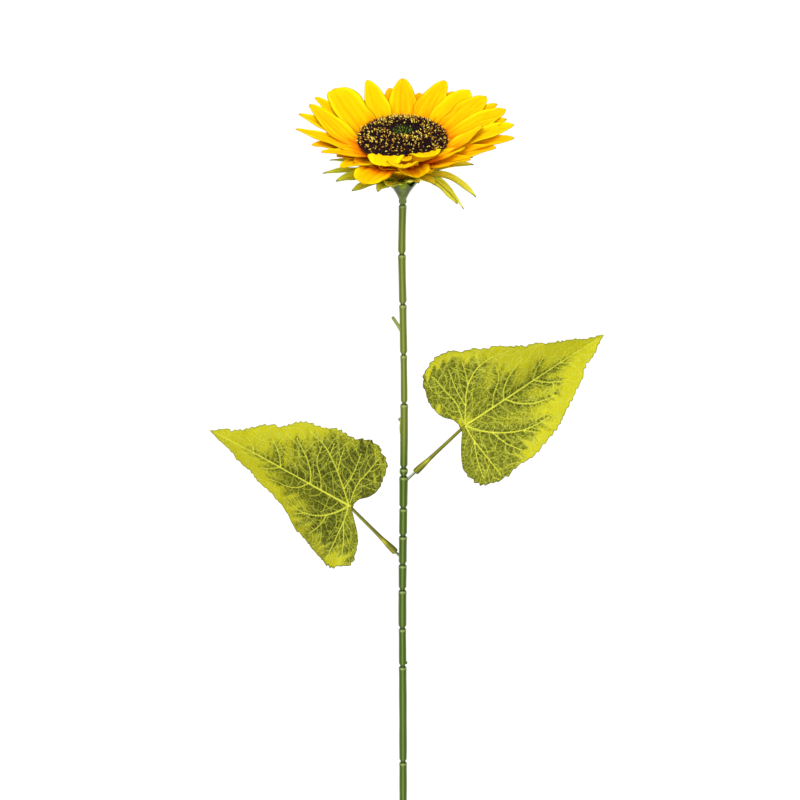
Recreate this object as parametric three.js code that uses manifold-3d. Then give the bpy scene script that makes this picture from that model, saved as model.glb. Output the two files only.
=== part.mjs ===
// A long-stemmed artificial sunflower: a moulded plastic stem with pinched knuckles and leaf pegs,
// two fabric leaves on plastic stalks that push onto the pegs, and a head of die-cut fabric rings
// threaded on the post of a plastic calyx, closed by a bristled seed disc.
//
// Millimetres, +Z up. The origin is the centre of the flat cut at the foot of the stem; the front is -Y.
import * as THREE from "three";
import { mergeVertices } from "three/addons/utils/BufferGeometryUtils.js";
import Module from "manifold-3d";

const wasm = await Module();
wasm.setup();

// ---------------------------------------------------------------- driving dimensions

const GAP = 0.3; // clearance kept between touching pieces

// The stem, from the foot up: where each moulded length ends in a pinch, and how thick it is.
const STEM_TOP = 518.5;
const STEM_LENGTHS = [
  { end: 74, radius: 2.5 },
  { end: 142, radius: 2.5 },
  { end: 209.5, radius: 2.55 },
  { end: 236, radius: 2.45 },
  { end: 262.5, radius: 2.65 },
  { end: 280, radius: 2.6 },
  { end: 299.5, radius: 2.65 },
  { end: 318.5, radius: 2.6 },
  { end: 340, radius: 2.75 },
  { end: 345.5, radius: 2.6 },
  { end: 388.5, radius: 2.5 },
  { end: 421, radius: 2.08 },
  { end: 454, radius: 2.25 },
  { end: 486.5, radius: 2.35 },
  { end: STEM_TOP, radius: 2.4 },
];
const PINCH_DEPTH = 0.75; // how far a pinch cuts into the radius
const PINCH_REACH = 1.9; // from the middle of a pinch to the full thickness
const STEM_SIDES = 8;
// Where the stem's centre line stands off the vertical, as [height, offset along X].
const SWAY = [
  [0, 0],
  [172, -0.2],
  [250, -0.6],
  [331, 0.1],
  [384, 0.5],
  [450, -0.3],
  [489, -1.0],
  [STEM_TOP, -0.5],
];

// Bare pegs that carry no leaf: one whole, one trimmed short.
const SPARE_PEG = { height: 435, rise: 57, length: 11.5, radius: 0.85 };
const TRIMMED_PEG = { height: 374.5, rise: 52, length: 4.6, radius: 0.9 };
const PEG_RADIUS = 0.7; // the pegs inside the leaf sockets
const PEG_IN_SOCKET = 5.5;

// Leaf stalks: a flared socket, a slim stalk, and a rib that runs on behind the blade.
const SOCKET = { length: 10, radius: 2.15, depth: 6.5 };
const STALK_RADIUS = 1.05;
const RIB_END_RADIUS = 0.45;
const RIB_SHARE = 0.72; // of the blade's length
const STALK_SIDES = 10;

// The two leaves. `socket` is the centre of the socket's mouth, `joint` where the stalk meets the blade,
// `tip` the blade's point. The halves of a blade fold towards the front by `upper` and `lower` degrees,
// given at the joint, half way and at the tip.
const LEAVES = {
  right: {
    socket: [7.7, 0, 342.8],
    joint: [40.1, -2, 374.3],
    tip: [130.2, 8, 432.7],
    upper: [12, 47, 51],
    lower: [24, 27, 38],
  },
  left: {
    socket: [-5.2, 0, 288.5],
    joint: [-35.6, -3, 320.9],
    tip: [-123.7, -26, 376.7],
    upper: [12, 17, 17],
    lower: [26, 61, 62],
  },
};
// A half blade in polar form round the joint: [degrees from the midrib, reach as a share of the length].
const BLADE_REACH = [
  [0, 1],
  [5, 0.873],
  [11, 0.8],
  [18, 0.726],
  [26, 0.655],
  [38, 0.575],
  [50, 0.508],
  [66, 0.468],
  [79, 0.458],
  [92, 0.425],
  [106, 0.38],
  [115, 0.332],
  [121, 0.27],
  [124, 0.16],
  [126, 0.05],
];
const LOBE_SHEAR = 0.14; // draws the upper lobe towards the tip and the lower one back, fading to the tip
const BLADE_THICKNESS = 0.8;
const BLADE_TIPPED_BACK = 12; // degrees that the blades lean back from facing the front
const BLADE_BOW = 3; // how far the midrib bows towards the back half way along

// The head, on an axis that nods forward from the top of the stem.
const HEAD_NOD = 21;
const HEAD_SEAT = 0.7; // lifts the nodding calyx clear of the stem
const CALYX = { neck: 2.3, rim: 12, rimHeight: 18.5, wall: 0.9, lobes: 6, lobeRise: 4, sides: 24 };
const POST = { radius: 2, top: 43.5 };
const DISC_SIDES = 24;
const DISC = { radius: 28.3, underside: 44.4, rise: 10, dip: 2.6, eye: 7 };

// Fabric rings, lowest first. Each is a washer round the post with a star of blades. The centre line of
// a blade climbs from `seat` at the post to `edge` at the radius `bowl`, then runs straight to its tip.
// `tip` is the height of a tip at the sides of the head; `nod` is added at the back and taken off at the front.
const PETAL_RINGS = [
  { name: "petal_ring_lower", turn: 0, seat: 18.5, edge: 36.5, tip: 45.6, nod: 3, reach: 65, half: 8.2 },
  { name: "petal_ring_middle", turn: 11.25, seat: 21.5, edge: 39.5, tip: 48.8, nod: 3.6, reach: 65.5, half: 8.6 },
  { name: "petal_ring_upper", turn: 0, seat: 24.5, edge: 42.8, tip: 52.5, nod: 5, reach: 65, half: 9.2 },
];
const PETAL_COUNT = 16;
const PETAL_BOWL = 29;
const PETAL_CUP = 0.14; // how far a petal's sides rise, as a share of its half width
const SIDE_REACH = 3.5; // added at both sides of the head
const RIGHT_REACH = 1; // added at the right and taken off at the left
const FRONT_CURL = 13; // the foremost petals curl up and so reach less far
// A petal's outline: [share of the way from the washer to the tip, share of the half width].
const PETAL_OUTLINE = [
  [0, 1],
  [0.42, 0.72],
  [0.6, 1],
  [0.8, 0.82],
  [0.93, 0.5],
  [1, 0.12],
];

// The green bracts under the petals: [bearing from the right, reach, height of the tip].
const BRACTS = [
  [16, 46, 27],
  [38, 45, 25],
  [60, 47, 27],
  [81, 44, 24],
  [103, 47, 26],
  [125, 45, 28],
  [148, 48, 25],
  [172, 47, 27],
  [195, 52, 28.4],
  [208, 47, 27],
  [225, 42, 26],
  [248, 34, 28],
  [272, 30, 27],
  [297, 37, 31],
  [324, 41.5, 12.7],
  [338, 48.5, 13.4],
  [354, 45, 30],
];
const BRACT_RING = { name: "bract_ring", seat: 15.5, edge: 27.5, bowl: 21, half: 3.4, cup: 0.2 };
const BRACT_OUTLINE = [
  [0, 1],
  [0.38, 0.9],
  [0.72, 0.9],
  [1, 0.1],
];
const RING_THICKNESS = 0.6;
const WASHER_WIDTH = 5;
const WASHER_SIDES = 12;

// ---------------------------------------------------------------- materials

const plastic = (color, roughness = 0.45) =>
  new THREE.MeshStandardMaterial({ color, roughness, metalness: 0 });
const MATERIALS = {
  stem: plastic(0x748c40),
  calyx: plastic(0x5f7a3c, 0.55),
  stalk: plastic(0x8f9a1e, 0.5),
  blade: plastic(0xa3a51c, 0.75),
  bract: plastic(0xa8b423, 0.75),
  petal: plastic(0xfbce08, 0.7),
  disc: plastic(0x3a281c, 0.9),
  eye: plastic(0x3d4a17, 0.9),
};

// ---------------------------------------------------------------- small tools

const rad = THREE.MathUtils.degToRad;
const lerp = THREE.MathUtils.lerp;
const Z = new THREE.Vector3(0, 0, 1);
const vec = (p) => new THREE.Vector3(...p);

// The value at x in a list of [x, value] pairs, along straight lines between them.
function along(pairs, x) {
  const after = pairs.findIndex(([at]) => at >= x);
  if (after < 0) return pairs.at(-1)[1];
  if (after === 0) return pairs[0][1];
  const [x0, y0] = pairs[after - 1];
  const [x1, y1] = pairs[after];
  return lerp(y0, y1, (x - x0) / (x1 - x0));
}

function solidOf(geometry) {
  const bare = geometry.clone();
  bare.deleteAttribute("normal");
  bare.deleteAttribute("uv");
  const merged = mergeVertices(bare, 1e-4);
  return new wasm.Manifold(
    new wasm.Mesh({
      numProp: 3,
      vertProperties: new Float32Array(merged.attributes.position.array),
      triVerts: new Uint32Array(merged.index.array),
    }),
  );
}

function geometryOf(solid) {
  const mesh = solid.getMesh();
  const geometry = new THREE.BufferGeometry();
  geometry.setAttribute("position", new THREE.BufferAttribute(mesh.vertProperties, 3));
  geometry.setIndex(new THREE.BufferAttribute(mesh.triVerts, 1));
  return geometry;
}

const joined = (geometries) => geometryOf(geometries.map(solidOf).reduce((all, one) => all.add(one)));

function indexed(points, faces) {
  const geometry = new THREE.BufferGeometry();
  geometry.setAttribute("position", new THREE.Float32BufferAttribute(points.flatMap((p) => [p.x, p.y, p.z]), 3));
  geometry.setIndex(faces.flat());
  return geometry;
}

// A solid of revolution round Z. The profile is a list of [radius, height].
function turned(profile, sides) {
  const points = profile.map(([r, z]) => new THREE.Vector2(r, z));
  return new THREE.LatheGeometry(points, sides).rotateX(Math.PI / 2);
}

// A round limb along centre points, with a radius at each, closed by flat ends.
// The limbs here lie close to the XZ plane, so their rings are laid out from the Y axis.
function limb(centres, radii, sides) {
  const points = [];
  const faces = [];
  const last = centres.length - 1;
  centres.forEach((centre, i) => {
    const heading = centres[Math.min(i + 1, last)].clone().sub(centres[Math.max(i - 1, 0)]).normalize();
    const across = new THREE.Vector3(0, 1, 0).cross(heading).normalize();
    const over = heading.clone().cross(across);
    for (let k = 0; k < sides; k++) {
      const turn = (2 * Math.PI * k) / sides;
      points.push(
        centre
          .clone()
          .addScaledVector(across, radii[i] * Math.cos(turn))
          .addScaledVector(over, radii[i] * Math.sin(turn)),
      );
    }
  });
  for (let i = 0; i < last; i++)
    for (let k = 0; k < sides; k++) {
      const a = i * sides + k;
      const b = i * sides + ((k + 1) % sides);
      faces.push([a, b, b + sides], [a, b + sides, a + sides]);
    }
  for (let k = 1; k < sides - 1; k++) {
    const top = last * sides;
    faces.push([0, k + 1, k], [top, top + k, top + k + 1]);
  }
  return indexed(points, faces);
}

// A thin solid: a skin of triangles over `points`, the same skin moved by `back`, and a wall round the rim.
// The triangles turn anticlockwise and `rim` runs anticlockwise, both seen from the side away from `back`.
function sheet(points, triangles, rim, back) {
  const n = points.length;
  const rear = points.map((p) => p.clone().add(back));
  const faces = triangles.flatMap(([a, b, c]) => [
    [a, b, c],
    [c + n, b + n, a + n],
  ]);
  rim.forEach((a, i) => {
    const b = rim[(i + 1) % rim.length];
    faces.push([a, a + n, b + n], [a, b + n, b]);
  });
  return indexed([...points, ...rear], faces);
}

// ---------------------------------------------------------------- stem

function stemProfile() {
  const profile = [
    [0, 0],
    [STEM_LENGTHS[0].radius, 0],
  ];
  STEM_LENGTHS.forEach(({ end, radius }, i) => {
    const next = STEM_LENGTHS[i + 1];
    if (!next) {
      profile.push([radius, end - PINCH_REACH], [radius - PINCH_DEPTH, end], [0, end]);
      return;
    }
    const waist = Math.min(radius, next.radius) - PINCH_DEPTH;
    profile.push(
      [radius, end - PINCH_REACH],
      [waist, end - PINCH_REACH / 6],
      [waist, end + PINCH_REACH / 6],
      [next.radius, end + PINCH_REACH],
    );
  });
  return profile;
}

const stemCentre = (z) => new THREE.Vector3(along(SWAY, z), 0, z);

// A peg that leaves the stem's left side, pointing up and out.
function sparePeg({ height, rise, length, radius }) {
  const root = stemCentre(height);
  const out = new THREE.Vector3(-Math.cos(rad(rise)), 0, Math.sin(rad(rise)));
  const tip = root.clone().addScaledVector(out, length + 1);
  return limb([root, tip], [radius, radius * 0.85], STEM_SIDES);
}

// A peg that runs from the stem's centre into a leaf's socket, along the stalk's own line.
function leafPeg(leaf) {
  const mouth = vec(leaf.socket);
  const heading = vec(leaf.joint).sub(mouth).normalize();
  const root = mouth.clone().addScaledVector(heading, -mouth.x / heading.x);
  const tip = mouth.clone().addScaledVector(heading, PEG_IN_SOCKET);
  return limb([root, tip], [PEG_RADIUS, PEG_RADIUS], STEM_SIDES);
}

function stem() {
  const shaft = turned(stemProfile(), STEM_SIDES);
  const position = shaft.attributes.position;
  for (let i = 0; i < position.count; i++) position.setX(i, position.getX(i) + along(SWAY, position.getZ(i)));
  return joined([
    shaft,
    sparePeg(SPARE_PEG),
    sparePeg(TRIMMED_PEG),
    leafPeg(LEAVES.right),
    leafPeg(LEAVES.left),
  ]);
}

// ---------------------------------------------------------------- leaves

// A leaf's own directions: along its midrib, across it on the upper side, and out of its face.
function leafFrame(leaf) {
  const joint = vec(leaf.joint);
  const midrib = vec(leaf.tip).sub(joint);
  const length = midrib.length();
  const alongRib = midrib.normalize();
  const tipped = rad(BLADE_TIPPED_BACK);
  const front = new THREE.Vector3(0, -Math.cos(tipped), Math.sin(tipped));
  front.addScaledVector(alongRib, -front.dot(alongRib)).normalize();
  const upward = alongRib.clone().cross(front).normalize();
  if (upward.z < 0) upward.negate();
  return { joint, length, alongRib, front, upward };
}

// The point of a blade `run` along the midrib and `out` across it, positive on the upper side.
function bladePoint(leaf, frame, run, out) {
  const share = THREE.MathUtils.clamp(run / frame.length, 0, 1);
  const drawn = run + LOBE_SHEAR * out * (1 - share);
  const [near, middle, far] = out > 0 ? leaf.upper : leaf.lower;
  const fold = rad(share < 0.5 ? lerp(near, middle, share * 2) : lerp(middle, far, share * 2 - 1));
  const bow = BLADE_BOW * Math.sin(Math.PI * share);
  return frame.joint
    .clone()
    .addScaledVector(frame.alongRib, drawn)
    .addScaledVector(frame.upward, out * Math.cos(fold))
    .addScaledVector(frame.front, Math.abs(out) * Math.sin(fold) - bow);
}

function blade(leaf) {
  const frame = leafFrame(leaf);
  const rays = [...BLADE_REACH.slice(1).reverse().map(([a, r]) => [-a, r]), ...BLADE_REACH];
  const steps = 3;
  const points = [frame.joint.clone()];
  for (const [angle, reach] of rays)
    for (let j = 1; j <= steps; j++) {
      const r = (reach * frame.length * j) / steps;
      points.push(bladePoint(leaf, frame, r * Math.cos(rad(angle)), r * Math.sin(rad(angle))));
    }
  const at = (ray, j) => (j === 0 ? 0 : 1 + ray * steps + j - 1);
  const triangles = [];
  for (let i = 0; i < rays.length - 1; i++) {
    triangles.push([0, at(i, 1), at(i + 1, 1)]);
    for (let j = 1; j < steps; j++)
      triangles.push([at(i, j), at(i, j + 1), at(i + 1, j + 1)], [at(i, j), at(i + 1, j + 1), at(i + 1, j)]);
  }
  const rim = [0];
  for (let j = 1; j <= steps; j++) rim.push(at(0, j));
  for (let i = 1; i < rays.length; i++) rim.push(at(i, steps));
  for (let j = steps - 1; j > 0; j--) rim.push(at(rays.length - 1, j));
  // Rays run anticlockwise seen from the front only where the upper side lies to the midrib's left.
  const facing = frame.alongRib.clone().cross(frame.upward).dot(frame.front) > 0;
  const back = frame.front.clone().multiplyScalar(-BLADE_THICKNESS);
  const turn = (list) => (facing ? list : [...list].reverse());
  return sheet(points, triangles.map(turn), turn(rim), back);
}

function stalk(leaf) {
  const frame = leafFrame(leaf);
  const mouth = vec(leaf.socket);
  const behind = -(BLADE_THICKNESS + GAP + STALK_RADIUS);
  const joint = frame.joint.clone().addScaledVector(frame.front, behind);
  const heading = joint.clone().sub(mouth).normalize();
  const free = joint.distanceTo(mouth);
  const centres = [0, 0.6, SOCKET.length, SOCKET.length * 1.35, free * 0.72, free].map((d) =>
    mouth.clone().addScaledVector(heading, d),
  );
  const radii = [SOCKET.radius * 0.94, SOCKET.radius, STALK_RADIUS * 1.35, STALK_RADIUS, STALK_RADIUS, STALK_RADIUS];
  const steps = 5;
  for (let k = 1; k <= steps; k++) {
    const share = (RIB_SHARE * k) / steps;
    const radius = lerp(STALK_RADIUS, RIB_END_RADIUS, k / steps);
    const seat = -(BLADE_THICKNESS + GAP + radius);
    centres.push(bladePoint(leaf, frame, share * frame.length, 0).addScaledVector(frame.front, seat));
    radii.push(radius);
  }
  const bore = limb(
    [mouth.clone().addScaledVector(heading, -2), mouth.clone().addScaledVector(heading, SOCKET.depth)],
    [PEG_RADIUS + GAP * 1.6, PEG_RADIUS + GAP * 1.6],
    STALK_SIDES,
  );
  return geometryOf(solidOf(limb(centres, radii, STALK_SIDES)).subtract(solidOf(bore)));
}

// ---------------------------------------------------------------- head

// The calyx: a cup whose rim rises in pointed lobes, with the post that carries the rings inside it.
function calyx() {
  const { neck, rim, rimHeight, wall, lobes, lobeRise, sides } = CALYX;
  const floor = 12;
  const profile = [
    [0, GAP],
    [neck * 0.8, GAP],
    [neck, 1.4],
    [neck, 2.6],
    [rim * 0.44, rimHeight * 0.5],
    [rim, rimHeight],
    [rim - wall, rimHeight + wall * 0.3],
    [POST.radius + 1.5, floor],
    [POST.radius, floor],
    [POST.radius, POST.top],
    [0, POST.top],
  ];
  const cup = turned(profile, sides);
  const position = cup.attributes.position;
  for (let i = 0; i < position.count; i++) {
    const [x, y, z] = [position.getX(i), position.getY(i), position.getZ(i)];
    const radius = Math.hypot(x, y);
    if (radius < rim - wall - 0.5) continue;
    const lobe = Math.abs(Math.cos((lobes * Math.atan2(y, x)) / 2));
    position.setZ(i, z + lobeRise * (lobe - 0.5));
    position.setX(i, x * (0.88 + 0.16 * lobe));
    position.setY(i, y * (0.88 + 0.16 * lobe));
  }
  return cup;
}

// The height of a blade's centre line: up the bowl in a curve, then straight out to the tip.
function bladeHeight(ring, radius, blade) {
  const inner = POST.radius + GAP;
  const share = (radius - inner) / (ring.bowl - inner);
  if (share < 1) return lerp(ring.seat, ring.edge, (Math.sin((share * Math.PI) / 2) + share) / 2);
  return lerp(ring.edge, blade.tip, (radius - ring.bowl) / (blade.reach - ring.bowl));
}

// One blade of a ring, as a thin solid that starts inside the washer.
function ringBlade(ring, blade) {
  const inner = POST.radius + GAP + WASHER_WIDTH / 2;
  const points = [];
  for (const [share, width] of ring.outline) {
    const radius = lerp(inner, blade.reach, share);
    const half = Math.min(ring.half * width, 0.475 * ring.spacing * radius);
    const height = bladeHeight(ring, radius, blade);
    for (const side of [-1, 0, 1]) {
      const rise = side === 0 ? 0 : ring.cup * half;
      points.push(new THREE.Vector3(radius, side * half, height + rise).applyAxisAngle(Z, blade.bearing));
    }
  }
  const rows = ring.outline.length;
  const at = (i, j) => i * 3 + j;
  const triangles = [];
  for (let i = 0; i < rows - 1; i++)
    for (let j = 0; j < 2; j++)
      triangles.push([at(i, j), at(i + 1, j), at(i + 1, j + 1)], [at(i, j), at(i + 1, j + 1), at(i, j + 1)]);
  const rim = [];
  for (let i = 0; i < rows; i++) rim.push(at(i, 0));
  rim.push(at(rows - 1, 1));
  for (let i = rows - 1; i >= 0; i--) rim.push(at(i, 2));
  rim.push(at(0, 1));
  return sheet(points, triangles, rim, new THREE.Vector3(0, 0, -RING_THICKNESS));
}

function fabricRing(ring, blades) {
  const inner = POST.radius + GAP;
  const outer = inner + WASHER_WIDTH;
  const low = ring.seat;
  const high = bladeHeight(ring, outer, blades[0]);
  const washer = turned(
    [
      [inner, low - RING_THICKNESS],
      [outer, high - RING_THICKNESS],
      [outer, high],
      [inner, low],
      [inner, low - RING_THICKNESS],
    ],
    WASHER_SIDES,
  );
  return joined([washer, ...blades.map((blade) => ringBlade(ring, blade))]);
}

function petalRing({ name, turn, seat, edge, tip, nod, reach, half }) {
  const spacing = (2 * Math.PI) / PETAL_COUNT;
  const ring = { seat, edge, bowl: PETAL_BOWL, half, cup: PETAL_CUP, outline: PETAL_OUTLINE, spacing };
  const blades = Array.from({ length: PETAL_COUNT }, (_, k) => {
    const bearing = rad(turn) + spacing * k;
    const [aside, behind] = [Math.cos(bearing), Math.sin(bearing)];
    const spread = SIDE_REACH * aside ** 2 + RIGHT_REACH * aside + FRONT_CURL * Math.min(0, behind);
    return { bearing, reach: reach + spread, tip: tip + nod * behind };
  });
  return node(name, fabricRing(ring, blades), MATERIALS.petal);
}

function bractRing() {
  const spacing = (2 * Math.PI) / BRACTS.length;
  const ring = { ...BRACT_RING, outline: BRACT_OUTLINE, spacing };
  const blades = BRACTS.map(([bearing, reach, tip]) => ({ bearing: rad(bearing), reach, tip }));
  return node(ring.name, fabricRing(ring, blades), MATERIALS.bract);
}

function seedDisc() {
  const { radius, underside, rise, dip, eye } = DISC;
  return turned(
    [
      [0, underside],
      [radius * 0.9, underside],
      [radius, underside + rise * 0.15],
      [radius * 0.98, underside + rise * 0.4],
      [radius * 0.84, underside + rise * 0.76],
      [radius * 0.62, underside + rise],
      [eye * 1.5, underside + rise - 0.4],
      [eye, underside + rise - dip],
      [0, underside + rise - dip],
    ],
    DISC_SIDES,
  );
}

function discEye() {
  const { underside, rise, dip, eye } = DISC;
  const floor = underside + rise - dip + GAP;
  return turned(
    [
      [0, floor],
      [eye - 1, floor],
      [eye - 1.4, floor + 1.2],
      [0, floor + 1.8],
    ],
    DISC_SIDES / 2,
  );
}

// ---------------------------------------------------------------- assembly

function node(name, geometry, material) {
  const mesh = new THREE.Mesh(geometry, material);
  mesh.name = name;
  return mesh;
}

const sunflower = new THREE.Group();
sunflower.add(node("stem", stem(), MATERIALS.stem));
for (const [side, leaf] of Object.entries(LEAVES)) {
  sunflower.add(node(`leaf_${side}_stalk`, stalk(leaf), MATERIALS.stalk));
  sunflower.add(node(`leaf_${side}_blade`, blade(leaf), MATERIALS.blade));
}

const head = new THREE.Group();
head.position.copy(stemCentre(STEM_TOP));
head.position.z += HEAD_SEAT;
head.rotation.x = rad(HEAD_NOD);
head.add(node("calyx", calyx(), MATERIALS.calyx), bractRing(), ...PETAL_RINGS.map(petalRing));
head.add(node("seed_disc", seedDisc(), MATERIALS.disc), node("disc_eye", discEye(), MATERIALS.eye));
sunflower.add(head);

export default sunflower;
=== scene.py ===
"""The looks of a long-stemmed artificial sunflower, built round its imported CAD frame.

A moulded plastic stem with pinched knuckles carries two printed fabric leaves on pushed-on plastic stalks
and a nodding head: a plastic calyx, a ring of green bracts, three rings of fabric petals and a bristled disc.

Sizes are in millimetres, +Z up, the front is -Y. Meshes are scaled to metres when they are made. The head
is worked out in its own frame: Z along its axis, bearings anticlockwise from the right, 90 at the back.
"""

import bpy
import numpy as np
from mathutils.geometry import delaunay_2d_cdt
from mathutils.kdtree import KDTree
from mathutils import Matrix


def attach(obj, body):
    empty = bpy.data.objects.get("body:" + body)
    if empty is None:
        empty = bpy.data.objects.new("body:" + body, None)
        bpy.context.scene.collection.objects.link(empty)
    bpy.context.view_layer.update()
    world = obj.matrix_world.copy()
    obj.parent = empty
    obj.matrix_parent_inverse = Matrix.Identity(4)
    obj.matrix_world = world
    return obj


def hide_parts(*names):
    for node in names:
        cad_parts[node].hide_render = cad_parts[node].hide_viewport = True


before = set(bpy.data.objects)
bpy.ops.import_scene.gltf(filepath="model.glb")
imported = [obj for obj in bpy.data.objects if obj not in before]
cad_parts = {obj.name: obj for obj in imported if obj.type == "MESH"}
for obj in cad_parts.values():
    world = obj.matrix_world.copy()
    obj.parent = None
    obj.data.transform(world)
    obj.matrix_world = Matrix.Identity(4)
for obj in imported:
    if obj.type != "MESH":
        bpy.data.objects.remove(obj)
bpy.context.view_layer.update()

MM = 0.001

# ---------------------------------------------------------------- driving dimensions

# The stem, from the foot up: where each moulded length ends in a pinch, and how thick it is.
STEM_LENGTHS = [
    (74, 2.5), (142, 2.5), (209.5, 2.55), (236, 2.45), (262.5, 2.65), (280, 2.6), (299.5, 2.65), (318.5, 2.6),
    (340, 2.75), (345.5, 2.6), (388.5, 2.5), (421, 2.12), (454, 2.3), (486.5, 2.4), (518.5, 2.4),
]
STEM_TOP = STEM_LENGTHS[-1][0]
PINCH_DEPTH = 1.0
SHOULDER = 1.4  # the rounded end of the length below a pinch
TAPER = 2.4  # how far the length above a pinch takes to fill out
KNUCKLE = (1.9, 1.3, 0.13)  # the swelling under a pinch: how far below it, how long, how thick
STEM_SIDES = 72
STEM_ROW_STEP = 2.5
PINCH_ROWS = 27
# Bearings of the shallow grooves that run the length of the moulding, and of the crests between them.
# Painted shade darkens the grooves and a painted highlight brightens the crests.
GROOVES = (0, 60, 120, 180, 233, 304)
CRESTS = (30, 90, 150, 206, 268, 332)
GROOVE_WIDTH, CREST_WIDTH = 0.24, 0.2  # radians
GROOVE_DEPTH = 0.035  # of the radius
# Bearings in radians of the moulding's two seams, and of the painted highlights (glints) on its knuckles.
SEAMS = (0.1, np.pi - 0.05)
SEAM_WIDTH, SEAM_HEIGHT = 0.09, 0.11
GLINTS = (-2.0, -1.0)
# How far right of the axis the middle of the shaft is at heights up it.
SWAY = [
    (0, 0), (172, -0.2), (250, -0.6), (331, 0.1), (384, 0.5), (450, -0.3), (489, -1.0), (STEM_TOP, -0.5),
]
# Bare pegs on the left: height, rise in degrees, length from the middle of the shaft, radius.
SPARE_PEG = (435, 57, 13.0, 1.2)
TRIMMED_PEG = (374.5, 52, 5.6, 1.1)
# A peg as [share of its length, share of its radius, how dark].
PEG_SHAPE = [
    (0, 1.2, 0.5), (0.3, 1.0, 0), (0.6, 0.95, 0), (0.85, 0.92, 0.1), (0.95, 0.85, 0.3), (0.99, 0.65, 0.5),
    (1, 0.3, 0.6),
]
PEG_SIDES = 20
# The trimmed peg's ridge along the shaft: from and to above the peg's height, and off the shaft's middle.
RIDGE_RUN = (-7, 2.5)
RIDGE_PLACE = (-2.25, -0.6, 0)
RIDGE_RADIUS = 0.75
# A small nub on the right as [x, y, z, radius], from the middle of the shaft at its height.
NUB_HEIGHT = 212
NUB = [(2.0, -0.3, 0, 1.0), (2.6, -0.3, 0.1, 0.9), (3.0, -0.3, 0.2, 0.7), (3.2, -0.3, 0.2, 0.3)]
LEAF_PEG_RADIUS = 0.95
LEAF_PEG_IN_SOCKET = 5.5
STEM_TONE_CHANGE = (0.34, 0.378)  # heights in metres between which the dark lower tone gives way

# Leaf stalks: the radius of the bore at shares of the socket's depth, and the radius of the stalk at shares
# of the way from the socket's mouth to the blade's joint.
SOCKET_DEPTH = 6.5
BORE_SHAPE = [(0, 1.25), (0.001, 1.2), (1, 1.2)]
STALK_SHAPE = [
    (0, 1.95), (0.012, 2.15), (0.06, 2.2), (0.16, 1.95), (0.26, 1.5), (0.4, 1.25), (0.7, 1.1), (1, 1.0),
]
STALK_SIDES = 32
STALK_BEHIND = 1.3  # how far behind the blade's back the stalk's end lies
RIB_RADIUS, RIB_END_RADIUS = 1.0, 0.4
RIB_SHARE = 0.74  # of the blade's length

# The two leaves, as in the frame. The halves of a blade fold forward by `upper` and `lower` degrees, given at
# the joint, half way and at the tip. `depth` is how much darker the cloth is near the stalk,
# `margin` and `lobe_margin` how far in from the edge the yellow reaches in the two halves, and `patches` the
# yellow between the veins as [along, across, radius, strength] in shares of the blade's length. `trim` is the
# share by which the upper lobe is cut smaller than UPPER_EDGE.
LEAVES = {
    "right": {
        "socket": (7.7, 0, 342.8), "joint": (40.1, -2, 374.3), "tip": (130.2, 8, 432.7),
        "upper": (12, 47, 51), "lower": (24, 27, 38), "depth": 0.12, "trim": 0.0,
        "margin": (25, 15), "lobe_margin": (3, -5),
        "patches": [(0.44, 0.2, 0.09, 0.8), (0.28, 0.17, 0.07, 0.4), (0.46, -0.18, 0.08, 0.6)],
        "upper_vein": [(0, 0), (0.05, 0.09), (0.1, 0.18), (0.2, 0.27), (0.31, 0.31), (0.46, 0.315)],
    },
    "left": {
        "socket": (-5.2, 0, 288.5), "joint": (-35.6, -3, 320.9), "tip": (-123.7, -26, 376.7),
        "upper": (12, 17, 17), "lower": (26, 61, 62), "depth": 0.8, "trim": 0.07,
        "margin": (18, 23), "lobe_margin": (4, 18),
        "patches": [
            (0.3, -0.2, 0.085, 0.95), (0.03, -0.37, 0.11, 0.95), (0.32, 0.39, 0.06, 0.3),
            (0.05, 0.35, 0.15, 0.15), (0.29, 0.16, 0.07, 0.4),
        ],
        "upper_vein": [(0, 0), (0.107, 0.105), (0.2, 0.185), (0.305, 0.255), (0.45, 0.3)],
    },
}
LOBE_SHEAR = 0.14
BLADE_TIPPED_BACK = 12
BLADE_BOW = 3
BLADE_THICKNESS = 0.5
BLADE_GRAIN = 0.52  # spacing of the points over a blade
# The flat blade in shares of its length, x along the midrib and y across it: each half's outline from the
# tip round the lobe to the notch at the stalk.
UPPER_EDGE = [
    (1, 0), (0.88, 0.068), (0.79, 0.14), (0.64, 0.24), (0.47, 0.345), (0.3, 0.395), (0.12, 0.44),
    (0.02, 0.452), (-0.08, 0.415), (-0.125, 0.33), (-0.135, 0.21), (-0.1, 0.12), (-0.045, 0.06),
    (-0.03, 0.02),
]
LOWER_EDGE = [
    (1, 0), (0.87, -0.08), (0.69, -0.21), (0.5, -0.33), (0.37, -0.39), (0.2, -0.41), (0.04, -0.415),
    (-0.07, -0.365), (-0.115, -0.27), (-0.105, -0.17), (-0.07, -0.09), (-0.03, -0.02),
]
LOBES = (0.3, -0.05)  # the shares of the length between which the blade passes into its lobes
EDGE_STEP = 0.5
TOOTH_SPACING = 5.0
TOOTH_DEPTH = 1.6
TOOTH_BACK = 0.22  # the steep share of a tooth
EDGE_SWELL = 0.7  # how far the outline strays between the teeth
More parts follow.
